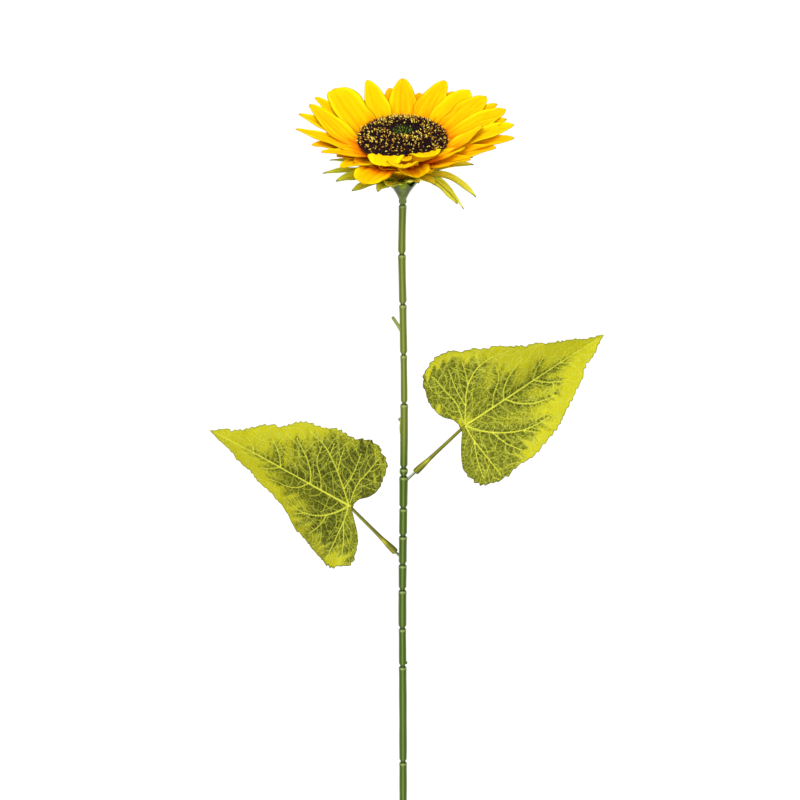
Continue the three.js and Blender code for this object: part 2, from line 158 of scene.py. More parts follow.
# Main veins in the same shares, each with its half width in millimetres at its root.
VEINS = [
    (0.55, [(-0.03, 0), (0.3, 0), (0.62, 0.004), (0.95, 0)]),
    (0.42, [(0, 0), (0.07, -0.08), (0.18, -0.17), (0.32, -0.24), (0.47, -0.26)]),
    (0.34, [(0, 0.02), (0.01, 0.14), (-0.02, 0.25), (-0.05, 0.36)]),
    (0.36, [(0, 0), (0.01, -0.1), (0.03, -0.2), (0.06, -0.34), (0.07, -0.4)]),
    (0.38, [(0.28, 0), (0.3, 0.05), (0.36, 0.12), (0.5, 0.22)]),
    (0.34, [(0.49, 0), (0.54, 0.07), (0.63, 0.14)]),
    (0.26, [(0.68, 0), (0.72, 0.04), (0.78, 0.075)]),
    (0.28, [(0.2, 0), (0.24, 0.07), (0.31, 0.15), (0.33, 0.25)]),
    (0.38, [(0.29, 0), (0.34, -0.06), (0.43, -0.125), (0.58, -0.17)]),
    (0.32, [(0.5, 0), (0.55, -0.05), (0.64, -0.11)]),
    (0.26, [(0.69, 0), (0.74, -0.035), (0.8, -0.06)]),
    (0.3, [(0.13, -0.13), (0.17, -0.23), (0.24, -0.34)]),
    (0.28, [(0.3, -0.235), (0.38, -0.31)]),
    (0.28, [(0.01, -0.12), (-0.02, -0.24), (-0.03, -0.35)]),
]
# The big vein of the upper half differs from leaf to leaf. Its branches: half width, how far up the vein each
# starts, and its points from there.
UPPER_VEIN_HALF_WIDTH = 0.42
UPPER_BRANCHES = [
    (0.28, 0.2, [(0, 0), (-0.01, 0.11), (0, 0.25)]),
    (0.28, 0.4, [(0, 0), (0.02, 0.08), (0.03, 0.15)]),
    (0.26, 0.62, [(0, 0), (0.01, 0.08)]),
]
VEIN_LEAN = 55  # degrees from the midrib, along which the print's flames run
VEIN_STEP = 1.2
SIDE_VEIN_STEP = 0.9
SIDE_VEIN_STEPS = 26  # at most
SIDE_VEIN_SPACING = 2.8
SIDE_VEIN_HALF_WIDTH = 0.17
SIDE_VEIN_WANDER = 9  # degrees a step
SEGMENTS_TRIED = 8  # by the middles nearest to a point, to find the nearest segment

# The head: its place on the stem, its nod, and the rings from the bracts up.
HEAD_PLACE = (-0.5, 0, 519.2)
HEAD_NOD = 21
POST_RADIUS = 2.3
POST_CORE = 2.0  # the post's own radius, clear of the rings threaded on it
HEAD_POST_RADIUS = 1.7  # where the stem's thinned end shows under the calyx
CALYX = {"neck": 2.3, "rim": 12, "rim_height": 18.5, "wall": 0.9, "lobes": 6, "lobe_rise": 4}
CALYX_SIDES = 120
# Each ring's cloth bowl climbs from `seat` at the post to `edge` at the radius `bowl`. Its strips begin at
# the radius `start`. The collar is the front petals that rise round the disc's edge, and the gap is the one
# between them.
RINGS = {
    "upper": {"seat": 24.5, "edge": 42.8, "bowl": 29, "start": 22},
    "middle": {"seat": 21.5, "edge": 39.5, "bowl": 29, "start": 22},
    "lower": {"seat": 18.5, "edge": 36.5, "bowl": 29, "start": 22},
    "bract": {"seat": 15.5, "edge": 24.5, "bowl": 21, "start": 12},
    "collar": {"seat": 43, "edge": 43, "bowl": 29, "start": 28.5},
    "gap": {"seat": 40.5, "edge": 40.5, "bowl": 29, "start": 28.2},
}
BOWL_LAP = 3  # how far a ring's bowl reaches past the start of its strips
PETAL_THICKNESS = 0.34
BRACT_THICKNESS = 0.4
# Half width of a petal or bract at shares of its length, as a share of the widest.
PETAL_SHAPE = [
    (0, 0.48), (0.16, 0.67), (0.3, 0.88), (0.43, 1), (0.55, 0.97), (0.66, 0.87), (0.77, 0.7), (0.87, 0.5),
    (0.94, 0.33), (0.98, 0.19), (1, 0.02),
]
BLUNT_SHAPE = [(0, 0.82), (0.3, 0.98), (0.55, 1), (0.76, 0.94), (0.89, 0.78), (0.96, 0.5), (1, 0.05)]
FULL_SHAPE = [
    (0, 0.5), (0.18, 0.72), (0.36, 0.94), (0.54, 1), (0.72, 0.91), (0.86, 0.68), (0.95, 0.38), (1, 0.03),
]
BRACT_SHAPE = [(0, 0.9), (0.3, 1), (0.55, 0.98), (0.75, 0.8), (0.9, 0.42), (0.97, 0.18), (1, 0.03)]
# Petals as [bearing at the root, bearing of the tip, reach, height, half width, roll, slope of the tip], in
# groups with the ring that they start from, their outline, the rise of their sides and the reach of their
# orange. None leaves the rise or the reach to build_petals.
UPPER_PETALS = [
    ("upper", PETAL_SHAPE, None, None, [
        (90, 90, 65.0, 57.0, 9.4, -3, 17), (67, 65.5, 65.8, 57.8, 9.4, 5, 17),
        (212, 206, 56.0, 48.6, 7.0, 4, 6), (204, 176, 67.4, 50.2, 7.4, 8, 8),
        (187, 154, 66.0, 55.5, 9.6, 6, 12), (113, 110.5, 65.2, 57.5, 7.6, -6, 17),
    ]),
    # The broad fan on the right.
    ("upper", FULL_SHAPE, None, None, [
        (47, 49, 65.4, 56.0, 9.0, 8, 16), (29, 36, 66.2, 56.4, 9.2, 8, 16),
        (9, 18, 68.6, 55.8, 9.2, 6, 15), (348, 4, 70.2, 53.0, 8.4, 2, 10),
    ]),
    # At the front on the right, orange over most of their length.
    ("upper", PETAL_SHAPE, None, 0.8, [
        (328, 5, 50.5, 52.5, 8.4, -14, 24), (306, 338, 42.0, 47.5, 7.6, -8, 14),
    ]),
    # The widest of the ring, on the left.
    ("upper", BLUNT_SHAPE, None, None, [(144, 132, 65.6, 57.2, 11.6, -2, 15)]),
    ("collar", BLUNT_SHAPE, 0.0, 0.15, [
        (297, 297, 36.8, 49.6, 10.4, -4, -16), (251, 251, 39.4, 45.6, 11.4, 4, -30),
    ]),
]
MIDDLE_PETALS = [
    ("middle", PETAL_SHAPE, None, None, [
        (79, 79, 58, 50.5, 6.4, 3, 10), (101, 98, 60.5, 52.5, 6.8, -4, 14), (124, 127, 62, 54.0, 8.6, 0, 14),
        (150, 146, 67.5, 56.4, 8.2, 4, 14), (172, 165.5, 67.9, 54.6, 8.2, 6, 12),
        (196, 189, 57.5, 45.8, 8.6, 4, 2), (306, 327, 50, 44.8, 9.4, 0, 4), (324, 345, 60, 47.2, 9.4, 2, 6),
        (346, 353.5, 70, 50.0, 8.0, 4, 8), (8, 10, 66.5, 53.6, 8.2, 6, 12),
        (30, 26.5, 67.2, 55.4, 8.4, 4, 14), (56, 57.5, 62, 53.5, 8.4, 4, 14),
    ]),
    # At the front on the left, with little orange.
    ("middle", PETAL_SHAPE, None, 0.2, [(224, 221, 50.5, 42.2, 9.8, 8, -8)]),
    # The front of the ring: an open petal, one whose end turns over, and one whose sides curl up.
    ("middle", BLUNT_SHAPE, None, None, [(243, 243, 54.0, 39.2, 10.6, -4, -8)]),
    ("middle", BLUNT_SHAPE, None, 0.5, [(269, 270, 45.6, 48.2, 10.0, 0, -22)]),
    ("middle", BLUNT_SHAPE, 0.34, 0.4, [(281, 281, 47.2, 42.2, 10.2, 0, 6)]),
    ("gap", BLUNT_SHAPE, 0.0, 1.3, [(273, 273, 36.4, 48.4, 4.4, 0, -20)]),
]
LOWER_PETAL_COUNT = 16
LOWER_PETAL_HALF_WIDTH = 8.2
# Bracts as [bearing, reach, height, half width, slope of the tip, share of green]. The green is painted shade
# on the bracts at the back and on the left, and the bract's own colour on the one in front.
BRACTS = [
    (16, 46, 27, 3.2, 0, 0.5), (38, 45, 25, 3.2, -5, 0.55), (60, 47, 27, 3.4, 0, 0.55),
    (81, 44, 24, 3.2, -10, 0.55), (103, 47, 26, 3.4, -5, 0.55), (125, 45, 28, 3.2, 5, 0.55),
    (148, 48, 25, 3.4, -10, 0.55), (172, 47, 27, 3.2, -5, 0.55), (195, 52, 28.4, 2.6, 0, 0.55),
    (208, 47, 27, 4.8, -5, 0.55), (225, 43.5, 24.6, 4.2, 6, 0.55), (240, 30, 21.7, 4.2, -50, 0.4),
    (257, 25.5, 24.0, 4.6, -55, 0.35), (271.5, 14.8, 18.2, 2.3, -72, 0.95), (290, 27, 27.5, 4.4, -20, 0.1),
    (304, 35, 28, 4.6, -10, 0), (325, 41.5, 12.0, 4.7, -46, 0), (338, 49, 13.4, 4.1, -42, 0),
    (329, 45.5, 9.0, 1.6, -50, 0), (354, 45, 30, 3.2, 0, 0.05), (249, 28, 25.0, 5.2, -50, 0.4),
]
HANGING_SLOPE = -30  # a tip steeper than this hangs
# How a bract leaves the bowl: its slope there, and the pull of its root and of its tip on the curve.
BRACT_WAYS = {
    "spread": (28, 0.34, 0.34), "hanging beside": (24, 0.34, 0.58), "hanging in front": (-2, 0.42, 0.34),
}
# Rows and columns of points over a petal, a bract and a ring's bowl.
PETAL_GRID = (58, 23)
BRACT_GRID = (40, 15)
BOWL_GRID = (16, 73)
BOWL_RUFFLES, BOWL_RUFFLE_HEIGHT = 16, 0.35
# How far the sides of petals and bracts rise and ripple, and the petals' notches, as dealt out at random.
PETAL_CUPS = (0.1, 0.24)
PETAL_CRIMPS = (0.3, 0.7)
PETAL_NOTCHES = (0, 0, 0.8, 1.6)
BRACT_CUPS = (0.3, 0.6)
BRACT_CRIMP = 0.3
# Every strip's folds across its width and their height, its crease and the wavering of its sides.
FOLDS, FOLD_HEIGHT = 2.4, 0.34
CREASE_DEPTH, CREASE_WIDTH = 0.55, 0.1
EDGE_WAVER = 0.035
CURVE_PULL = 0.34  # of a strip's span: how far its root and its tip pull on its curve, unless told otherwise
ROOT_SLOPE, FRONT_ROOT_SLOPE, UPRIGHT_ROOT_SLOPE = 22, 14, 80  # of petals at the bowl, in degrees
# The flat maps: strips side by side on a ring's map, the part of its cell that a strip gets, and the part of
# that which each of its two faces takes.
MAP_COLUMNS = 6
CELL_FILL = 0.97
FACE_WIDE, FACE_HIGH = 0.47, 0.96

# The seed disc: its profile as [radius, height], and the bristles that cover it.
DISC_PROFILE = [
    (0, 50.0), (7, 50.0), (8.6, 50.7), (10.5, 51.4), (14, 51.3), (17.5, 50.7), (21, 49.6), (24, 48.2),
    (26.3, 46.6), (27.4, 45.6), (27.6, 45.0), (26, 44.6), (0, 44.4),
]
DISC_RIM_ROW = 9  # the widest row of the profile that bristles grow on
AXIS_CLEAR = 0.2  # the smallest radius of a profile's rings
EYE_RADIUS = 7.2
# The eye's cushion as [radius, height above the middle of the disc].
EYE_PROFILE = [
    (AXIS_CLEAR, -0.2), (EYE_RADIUS - 0.6, -0.2), (EYE_RADIUS - 1.0, 0.7), (3, 1.3), (AXIS_CLEAR, 1.4),
]
BRISTLE_COUNT = 1750
BRISTLE_EDGE = 27.2
BRISTLE_RADIUS = 0.34
BRISTLE_LENGTHS = (2.0, 3.1)
BRISTLE_SPRAY, BRISTLE_BEND = 0.22, 0.28  # how unevenly they head and curve
GOLDEN_ANGLE = np.pi * (3 - np.sqrt(5))
TUFT_ROWS, TUFT_SIDES = 4, 5
OFF_HEADING = (0.31, 0.17, 0.05)  # keeps a bristle's sideways direction from ever lying along it
# Pale tips on part of the bristles: name, two tones, and from and to what share of the chance they are dealt.
BRISTLE_TIPS = [
    ("cream", (246, 212, 70), (254, 232, 104), 0, 0.5),
    ("ochre", (160, 112, 28), (196, 146, 42), 0.5, 1),
]
TIP_START, TIP_LENGTH, TIP_SWELL = 0.76, 0.3, 1.22  # shares of the bristle's length, and of its radius
EYE_TUFT_LENGTHS = (0.9, 1.9)
EYE_TUFT_RADII = (0.2, 0.32)
# Tufts of the eye: name, count, two tones, seed.
EYE_TUFTS = [
    ("deep", 330, (20, 32, 12), (42, 60, 22), 1),
    ("bright", 95, (108, 130, 36), (176, 184, 72), 2),
]

# The studio in metres and degrees, but the camera's lens and sensor in millimetres. The lights are [name,
# energy, spread, tilt, swing].
FLOOR_HALF = 60
WORLD_LIGHT = 0.62
LIGHTS = [("key", 2.0, 50, 42, -28), ("fill", 1.0, 40, 80, 14)]
CAMERA_PLACE = (-0.0022, -1.41288, 0.69132)
CAMERA_TILT = 78
CAMERA_LENS = 100
CAMERA_SENSOR = 36
CAMERA_REACH = 300

# ---------------------------------------------------------------- arithmetic


def smooth(low, high, x):
    """0 up to `low`, 1 from `high` on, with an even slope between; `low` may be the larger."""
    t = np.clip((np.asarray(x, float) - low) / (high - low), 0, 1)
    return t * t * (3 - 2 * t)


def bump(x, centre, width):
    """1 at the centre, and fading out on both sides."""
    return np.exp(-(((np.asarray(x, float) - centre) / width) ** 2))


def bump_round(turn, centre, width):
    """A bump over angles, the same from turn to turn."""
    return bump(np.angle(np.exp(1j * (turn - centre))), 0, width)


def unit(v):
    return v / np.maximum(np.linalg.norm(v, axis=-1, keepdims=True), 1e-12)


def run_along(points):
    """How far along a line of points each of them lies."""
    return np.r_[0, np.cumsum(np.linalg.norm(np.diff(points, axis=0), axis=1))]


def full_turn(sides):
    """The angles in radians of evenly spread sides."""
    return np.linspace(0, 2 * np.pi, sides, endpoint=False)


def hermite(at, values, tangents, x):
    """Where the smooth curve with these values and tangents at the places `at` is at the places x."""
    k = np.clip(np.searchsorted(at, x, side="right") - 1, 0, len(at) - 2)
    gap = (at[k + 1] - at[k])[..., None]
    t = (x - at[k])[..., None] / gap
    return (
        (2 * t**3 - 3 * t**2 + 1) * values[k]
        + (t**3 - 2 * t**2 + t) * gap * tangents[k]
        + (-2 * t**3 + 3 * t**2) * values[k + 1]
        + (t**3 - t**2) * gap * tangents[k + 1]
    )


def flowing(pairs, x):
    """A smooth curve through [x, value...] rows, level at the rows where it turns."""
    rows = np.array(pairs, float)
    at, values = rows[:, 0], rows[:, 1:]
    slopes = np.diff(values, axis=0) / np.diff(at)[:, None]
    tangents = np.vstack([slopes[:1], (slopes[:-1] + slopes[1:]) / 2, slopes[-1:]])
    tangents[1:-1][slopes[:-1] * slopes[1:] <= 0] = 0
    made = hermite(at, values, tangents, np.clip(np.asarray(x, float), at[0], at[-1]))
    return made[..., 0] if made.shape[-1] == 1 else made


def rounded(profile, count):
    """A profile of a few rows, smoothed and drawn with `count` rows."""
    return flowing([(k, *row) for k, row in enumerate(profile)], np.linspace(0, len(profile) - 1, count))


def spline(points, step):
    """A smooth open curve through a few points, sampled about every `step`."""
    points = np.array(points, float)
    run = run_along(points)
    count = int(run[-1] / step)
    if len(points) == 2:
        return points[0] + np.linspace(0, 1, max(count, 2))[:, None] * (points[1] - points[0])
    return hermite(run, points, np.gradient(points, run, axis=0), np.linspace(0, run[-1], max(count, 4)))


def waves(points, wavelength, seed, count=7):
    """A gentle random swell over points in any number of dimensions, about -1 to 1."""
    rng = np.random.default_rng(seed)
    heading = unit(rng.normal(size=(count, points.shape[-1])))
    pitch = 2 * np.pi / (wavelength * rng.uniform(0.7, 1.5, count))
    phase = rng.uniform(0, 2 * np.pi, count)
    return np.sin(points @ (heading * pitch[:, None]).T + phase).sum(-1) / np.sqrt(count / 2) * 0.6


def polar(radius, turn, height):
    """Head-frame points from a radius, a bearing in radians and a height."""
    return np.stack(np.broadcast_arrays(radius * np.cos(turn), radius * np.sin(turn), height), -1)


def leaned(directions):
    """Head-frame directions in the part's own frame."""
    c, s = np.cos(np.radians(HEAD_NOD)), np.sin(np.radians(HEAD_NOD))
    return np.asarray(directions) @ np.array([[1, 0, 0], [0, c, s], [0, -s, c]])


def nodded(points):
    """Head-frame points in the part's own frame."""
    return leaned(points) + HEAD_PLACE


# ---------------------------------------------------------------- meshes


def placed(name, data):
    """A new object in the scene."""
    made = bpy.data.objects.new(name, data)
    bpy.context.scene.collection.objects.link(made)
    return made


def fill(collection, key, data, kind=np.float32):
    collection.foreach_set(key, data.astype(kind).ravel())


class Shape:
    """Points, faces, values per point and flat-map places of one mesh, gathered from any number of parts."""

    def __init__(self):
        self.points, self.quads, self.triangles, self.values, self.maps = [], [], [], {}, []
        self.count = 0

    def add(self, points, quads, triangles=None, flat=None, **values):
        self.points.append(points.reshape(-1, 3))
        self.quads.append(quads + self.count)
        if triangles is not None:
            self.triangles.append(triangles + self.count)
        if flat is not None:
            self.maps.append(flat)
        for name, value in values.items():
            self.values.setdefault(name, []).append(value)
        self.count += len(self.points[-1])

    def piece(self, name, material, replaces=()):
        """Makes the Blender object, rides it on the root and hides the CAD parts that it replaces."""
        faces = [np.concatenate(kept) for kept in (self.quads, self.triangles) if kept]
        corners = np.concatenate([f.ravel() for f in faces])
        sizes = np.concatenate([np.full(len(f), f.shape[1]) for f in faces])
        mesh = bpy.data.meshes.new(name)
        mesh.vertices.add(self.count)
        fill(mesh.vertices, "co", np.concatenate(self.points) * MM)
        mesh.loops.add(len(corners))
        fill(mesh.loops, "vertex_index", corners, np.int32)
        mesh.polygons.add(len(sizes))
        fill(mesh.polygons, "loop_start", np.cumsum(sizes) - sizes, np.int32)
        fill(mesh.polygons, "use_smooth", np.ones(len(sizes)), bool)
        mesh.update(calc_edges=True)
        for key, parts in self.values.items():
            data = np.concatenate(parts)
            kind, field = ("FLOAT", "value") if data.ndim == 1 else ("FLOAT_VECTOR", "vector")
            fill(mesh.attributes.new(key, kind, "POINT").data, field, data)
        if self.maps:
            fill(mesh.uv_layers.new(name="OFBake").data, "uv", np.concatenate(self.maps)[corners])
        mesh.validate()
        mesh.materials.append(material)
        made = placed(name, mesh)
        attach(made, "root")
        if replaces:
            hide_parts(*replaces)


def sheet(shape, grid, thickness, cell, cloth, **values):
    """A thin closed skin over a head-frame grid of points. `cell` is its place on the flat map: left, low,
    wide, high. `cloth` is each point's place on the cloth in millimetres."""
    grid = nodded(grid)
    rows, columns = grid.shape[:2]
    count = rows * columns
    facing = unit(np.cross(np.gradient(grid, axis=0), np.gradient(grid, axis=1)))
    index = np.arange(count).reshape(rows, columns)
    tile = np.stack([index[:-1, :-1], index[1:, :-1], index[1:, 1:], index[:-1, 1:]], -1).reshape(-1, 4)
    rim = np.r_[index[:-1, 0], index[-1, :-1], index[:0:-1, -1], index[0, :0:-1]]
    after = np.roll(rim, -1)
    wall = np.stack([rim + count, after + count, after, rim], -1)
    left, low, wide, high = cell
    up, aside = np.meshgrid(np.linspace(0, 1, rows), np.linspace(0, FACE_WIDE, columns), indexing="ij")
    front = np.stack([left + wide * aside, low + high * up * FACE_HIGH], -1).reshape(-1, 2)
    full = {key: np.broadcast_to(value, (rows, columns)) for key, value in values.items()}
    shape.add(
        np.concatenate([grid + facing * thickness / 2, grid - facing * thickness / 2]),
        quads=np.concatenate([tile, tile[:, ::-1] + count, wall]),
        flat=np.concatenate([front, front + [wide / 2, 0]]),
        cloth=np.tile(cloth.reshape(count, 3), (2, 1)),
        rear=np.repeat([0.0, 1.0], count),
        **{key: np.tile(value.ravel(), 2) for key, value in full.items()},
    )


def tube_faces(rows, sides):
    """Quads between rings of points, and triangles to a last point in the middle of each end."""
    index = np.arange(rows * sides).reshape(rows, sides)
    after = np.roll(index, -1, axis=1)
    first, last = np.full(sides, rows * sides), np.full(sides, rows * sides + 1)
    quads = np.stack([index[:-1], after[:-1], after[1:], index[1:]], -1).reshape(-1, 4)
    caps = [np.stack([first, after[0], index[0]], -1), np.stack([last, index[-1], after[-1]], -1)]
    return quads, np.concatenate(caps)


def skin(shape, rings, **values):
    """A closed limb through rings of points that run anticlockwise round its heading. The values are given
    per point, per ring, per side or for the whole."""
    rows, sides = rings.shape[:2]
    quads, caps = tube_faces(rows, sides)
    points = np.vstack([rings.reshape(-1, 3), rings[0].mean(0), rings[-1].mean(0)])
    full = {key: np.broadcast_to(np.asarray(value, float), (rows, sides)) for key, value in values.items()}
    spread = {key: np.r_[value.ravel(), value[0].mean(), value[-1].mean()] for key, value in full.items()}
    shape.add(points, quads, caps, **spread)


def spokes(across, over, sides):
    """Directions round limbs, from two directions square to the heading of each."""
    turn = full_turn(sides)[:, None]
    return across[:, None] * np.cos(turn) + over[:, None] * np.sin(turn)


def rings_round(centres, radii, sides):
    """Rings of points round a centre line that is nowhere parallel to Y, with a radius per ring or point."""
    heading = unit(np.gradient(centres, axis=0))
    across = unit(np.cross([0, 1, 0], heading))
    spread = spokes(across, np.cross(heading, across), sides)
    return centres[:, None] + spread * radii.reshape(len(centres), -1, 1)


def turned_rings(profile, sides):
    """Rings of points round Z, from a [radius, height] profile that climbs on the outside."""
    return polar(profile[:, :1], full_turn(sides), profile[:, 1:])


def tufts(shape, roots, headings, bends, lengths, radii, taper=0.35):
    """Many small tapered bristles on the head, each from its root along its heading, curved by its bend."""
    roots, headings, bends = nodded(roots), leaned(headings), leaned(bends)
    across = unit(np.cross(headings, unit(headings[:, [1, 2, 0]] + OFF_HEADING)))
    share = np.linspace(0, 1, TUFT_ROWS)[:, None]
    centre = roots[:, None] + lengths[:, None, None] * (headings[:, None] * share + bends[:, None] * share**2)
    width = radii[:, None, None] * (1 - (1 - taper) * share**2)
    spread = spokes(across, np.cross(headings, across), TUFT_SIDES)[:, None]
    rings = centre[:, :, None] + spread * width[..., None]
    tip = centre[:, -1] + (headings + 2 * bends) * (radii * 0.7)[:, None]
    points = np.concatenate([rings.reshape(len(roots), -1, 3), centre[:, :1], tip[:, None]], axis=1)
    quads, caps = tube_faces(TUFT_ROWS, TUFT_SIDES)
    each = np.arange(len(roots))[:, None, None] * points.shape[1]
    shape.add(points, (quads + each).reshape(-1, 4), (caps + each).reshape(-1, 3))


# ---------------------------------------------------------------- materials


def colour(red, green, blue):
    """A linear colour from the 0 to 255 values that a colour chart shows."""
    parts = np.array([red, green, blue]) / 255
    linear = np.where(parts <= 0.04045, parts / 12.92, ((parts + 0.055) / 1.055) ** 2.4)
    return (*linear.tolist(), 1)


class Look:
    """A Principled material, with short ways to add the nodes that vary it. Scales are per metre over the
    object's places and per millimetre over its cloth. Tones are nodes or 0 to 255 values."""

    def __init__(self, name, roughness, specular):
        self.material = bpy.data.materials.new(name)
        self.material.use_nodes = True
        self.tree = self.material.node_tree
        self.shader = self.tree.nodes["Principled BSDF"]
        self.set(self.shader, {"Roughness": roughness, "Specular IOR Level": specular})

    def set(self, node, sockets):
        for key, value in sockets.items():
            if isinstance(value, bpy.types.NodeSocket):
                self.tree.links.new(value, node.inputs[key])
            else:
                node.inputs[key].default_value = value

    def node(self, kind, sockets=None, **settings):
        made = self.tree.nodes.new(kind)
        for key, value in settings.items():
            setattr(made, key, value)
        self.set(made, sockets or {})
        return made

    def value(self, name, output="Fac"):
        return self.node("ShaderNodeAttribute", attribute_name=name).outputs[output]

    def place(self):
        return self.node("ShaderNodeTexCoord").outputs["Object"]

    def stretched(self, vector, scale):
        return self.node("ShaderNodeMapping", {"Vector": vector, "Scale": scale}).outputs[0]

    def noise(self, vector, scale, detail=3):
        sockets = {"Vector": vector, "Scale": scale, "Detail": detail, "Roughness": 0.55}
        return self.node("ShaderNodeTexNoise", sockets).outputs[0]

    def cells(self, vector, scale):
        sockets = {"Vector": vector, "Scale": scale}
        return self.node("ShaderNodeTexVoronoi", sockets, feature="DISTANCE_TO_EDGE").outputs["Distance"]

    def math(self, operation, first, second):
        return self.node("ShaderNodeMath", {0: first, 1: second}, operation=operation).outputs[0]

    def span(self, value, low, high, to_low=0.0, to_high=1.0):
        sockets = {"Value": value, "From Min": low, "From Max": high, "To Min": to_low, "To Max": to_high}
        return self.node("ShaderNodeMapRange", sockets).outputs["Result"]

    def mix(self, share, *tones):
        first, second = (tone if isinstance(tone, bpy.types.NodeSocket) else colour(*tone) for tone in tones)
        return self.node("ShaderNodeMix", {0: share, 6: first, 7: second}, data_type="RGBA").outputs[2]

    def over(self, body, **tones):
        """Each tone laid over the body as far as the value per point of its name says."""
        for name, tone in tones.items():
            body = self.mix(self.value(name), body, tone)
        return body

    def relief(self, height, distance, strength=1.0, **sockets):
        sockets = {"Height": height, "Distance": distance * MM, "Strength": strength, **sockets}
        return self.node("ShaderNodeBump", sockets).outputs[0]

    def weave(self, cloth, pitch, depth):
        """The relief of threads crossing at right angles over a millimetre map of the cloth."""
        threads = []
        for direction in ("X", "Y"):
            sockets = {"Vector": cloth, "Scale": 0.5 / pitch, "Distortion": 0.4, "Detail": 0.0}
            threads.append(self.node("ShaderNodeTexWave", sockets, bands_direction=direction).outputs["Fac"])
        return self.relief(self.math("MULTIPLY", *threads), depth, 0.7)

    def finish(self, base, **sockets):
        self.set(self.shader, {"Base Color": base, **sockets})
        return self.material


def stem_look():
    look = Look("stem_plastic", 0.42, 0.16)
    place = look.place()
    height = look.node("ShaderNodeSeparateXYZ", {"Vector": place}).outputs["Z"]
    patch = look.noise(look.stretched(place, (1, 1, 0.12)), 160)
    upper = look.mix(patch, (100, 112, 30), (120, 130, 44))
    lower = look.mix(patch, (56, 82, 8), (76, 102, 18))
    drift = look.math("ADD", height, look.span(patch, 0.2, 0.8, -0.012, 0.012))
    body = look.mix(look.span(drift, *STEM_TONE_CHANGE), lower, upper)
    # `pale` paints highlights on knuckles and crests and a paler tone on pegs; `ring` paints shade in
    # pinches, grooves and under the calyx, and darkens peg ends.
    body = look.over(body, pale=(176, 188, 116), ring=(36, 50, 12))
    streaks = look.noise(look.stretched(place, (1, 1, 0.06)), 900, 4)
    roughness = look.span(streaks, 0.3, 0.8, 0.34, 0.5)
    return look.finish(body, Normal=look.relief(streaks, 0.12), Roughness=roughness)


def peg_look():
    look = Look("pale_peg_plastic", 0.35, 0.5)
    grain = look.noise(look.place(), 700)
    # The pale tone is partly the plastic's own and partly a painted highlight along the top; `under` paints
    # shade on the underside.
    body = look.over(look.mix(grain, (176, 196, 160), (208, 222, 196)), under=(60, 72, 26))
    return look.finish(body, Normal=look.relief(grain, 0.06))


def calyx_look():
    look = Look("calyx_plastic", 0.5, 0.3)
    place = look.place()
    body = look.mix(look.span(look.noise(place, 220, 4), 0.3, 0.7), (82, 98, 36), (112, 126, 56))
    # `pale` paints highlights on the lobes' crests and `ring` paints shade at the neck's foot and between the
    # lobes.
    body = look.over(body, pale=(120, 134, 70), ring=(40, 52, 18))
    return look.finish(body, Normal=look.relief(look.noise(place, 1200, 4), 0.14))


def stalk_look():
    look = Look("stalk_plastic", 0.4, 0.25)
    place = look.place()
    body = look.mix(look.span(look.noise(place, 190, 4), 0.3, 0.75), (80, 84, 8), (108, 108, 16))
    # `pale` paints highlights and `ring` paints shade on the moulding.
    body = look.over(body, pale=(176, 170, 14), ring=(44, 52, 6))
    streaks = look.noise(look.stretched(place, (1, 1, 0.5)), 900, 4)
    return look.finish(body, Normal=look.relief(streaks, 0.12))


def leaf_look():
    """Three tones by the wash, and over them a net of fine veins in two sizes, the veins and the rim."""
    look = Look("leaf_cloth", 0.66, 0.08)
    cloth = look.value("cloth", "Vector")
    fine = look.noise(cloth, 0.9, 4)
    speckle = look.span(fine, 0.3, 0.7)
    deep = look.mix(speckle, (44, 48, 0), (72, 78, 10))
    middle = look.mix(speckle, (80, 86, 6), (114, 118, 20))
    bright = look.mix(look.noise(cloth, 0.13), (178, 176, 10), (202, 194, 12))
    wash = look.math("ADD", look.value("wash"), look.span(fine, 0.25, 0.75, -0.34, 0.34))
    body = look.mix(look.span(wash, -0.6, 0.1), deep, middle)
    body = look.mix(look.span(wash, 0.1, 1.0), body, bright)
    sockets = {0: cloth, 1: look.value("drift", "Vector")}
    drifted = look.node("ShaderNodeVectorMath", sockets, operation="ADD").outputs[0]
    coarse = look.span(look.cells(drifted, 0.3), 0.0, 0.12, 1.0, 0.0)
    small = look.span(look.cells(drifted, 0.66), 0.0, 0.12, 0.55, 0.0)
    net = look.math("MULTIPLY", look.math("MAXIMUM", coarse, small), look.span(fine, 0.3, 0.65, 0.45, 0.95))
    net_tone = look.mix(look.span(wash, -0.6, 0.3), (132, 138, 46), (182, 186, 66))
    body = look.mix(net, body, net_tone)
    body = look.over(body, vein=(218, 220, 70), rim=(78, 78, 20), rear=(140, 152, 52))
    raised = look.math("ADD", look.math("MULTIPLY", net, 0.5), look.value("vein"))
    return look.finish(body, Normal=look.relief(raised, 0.28, Normal=look.weave(cloth, 0.42, 0.05)))


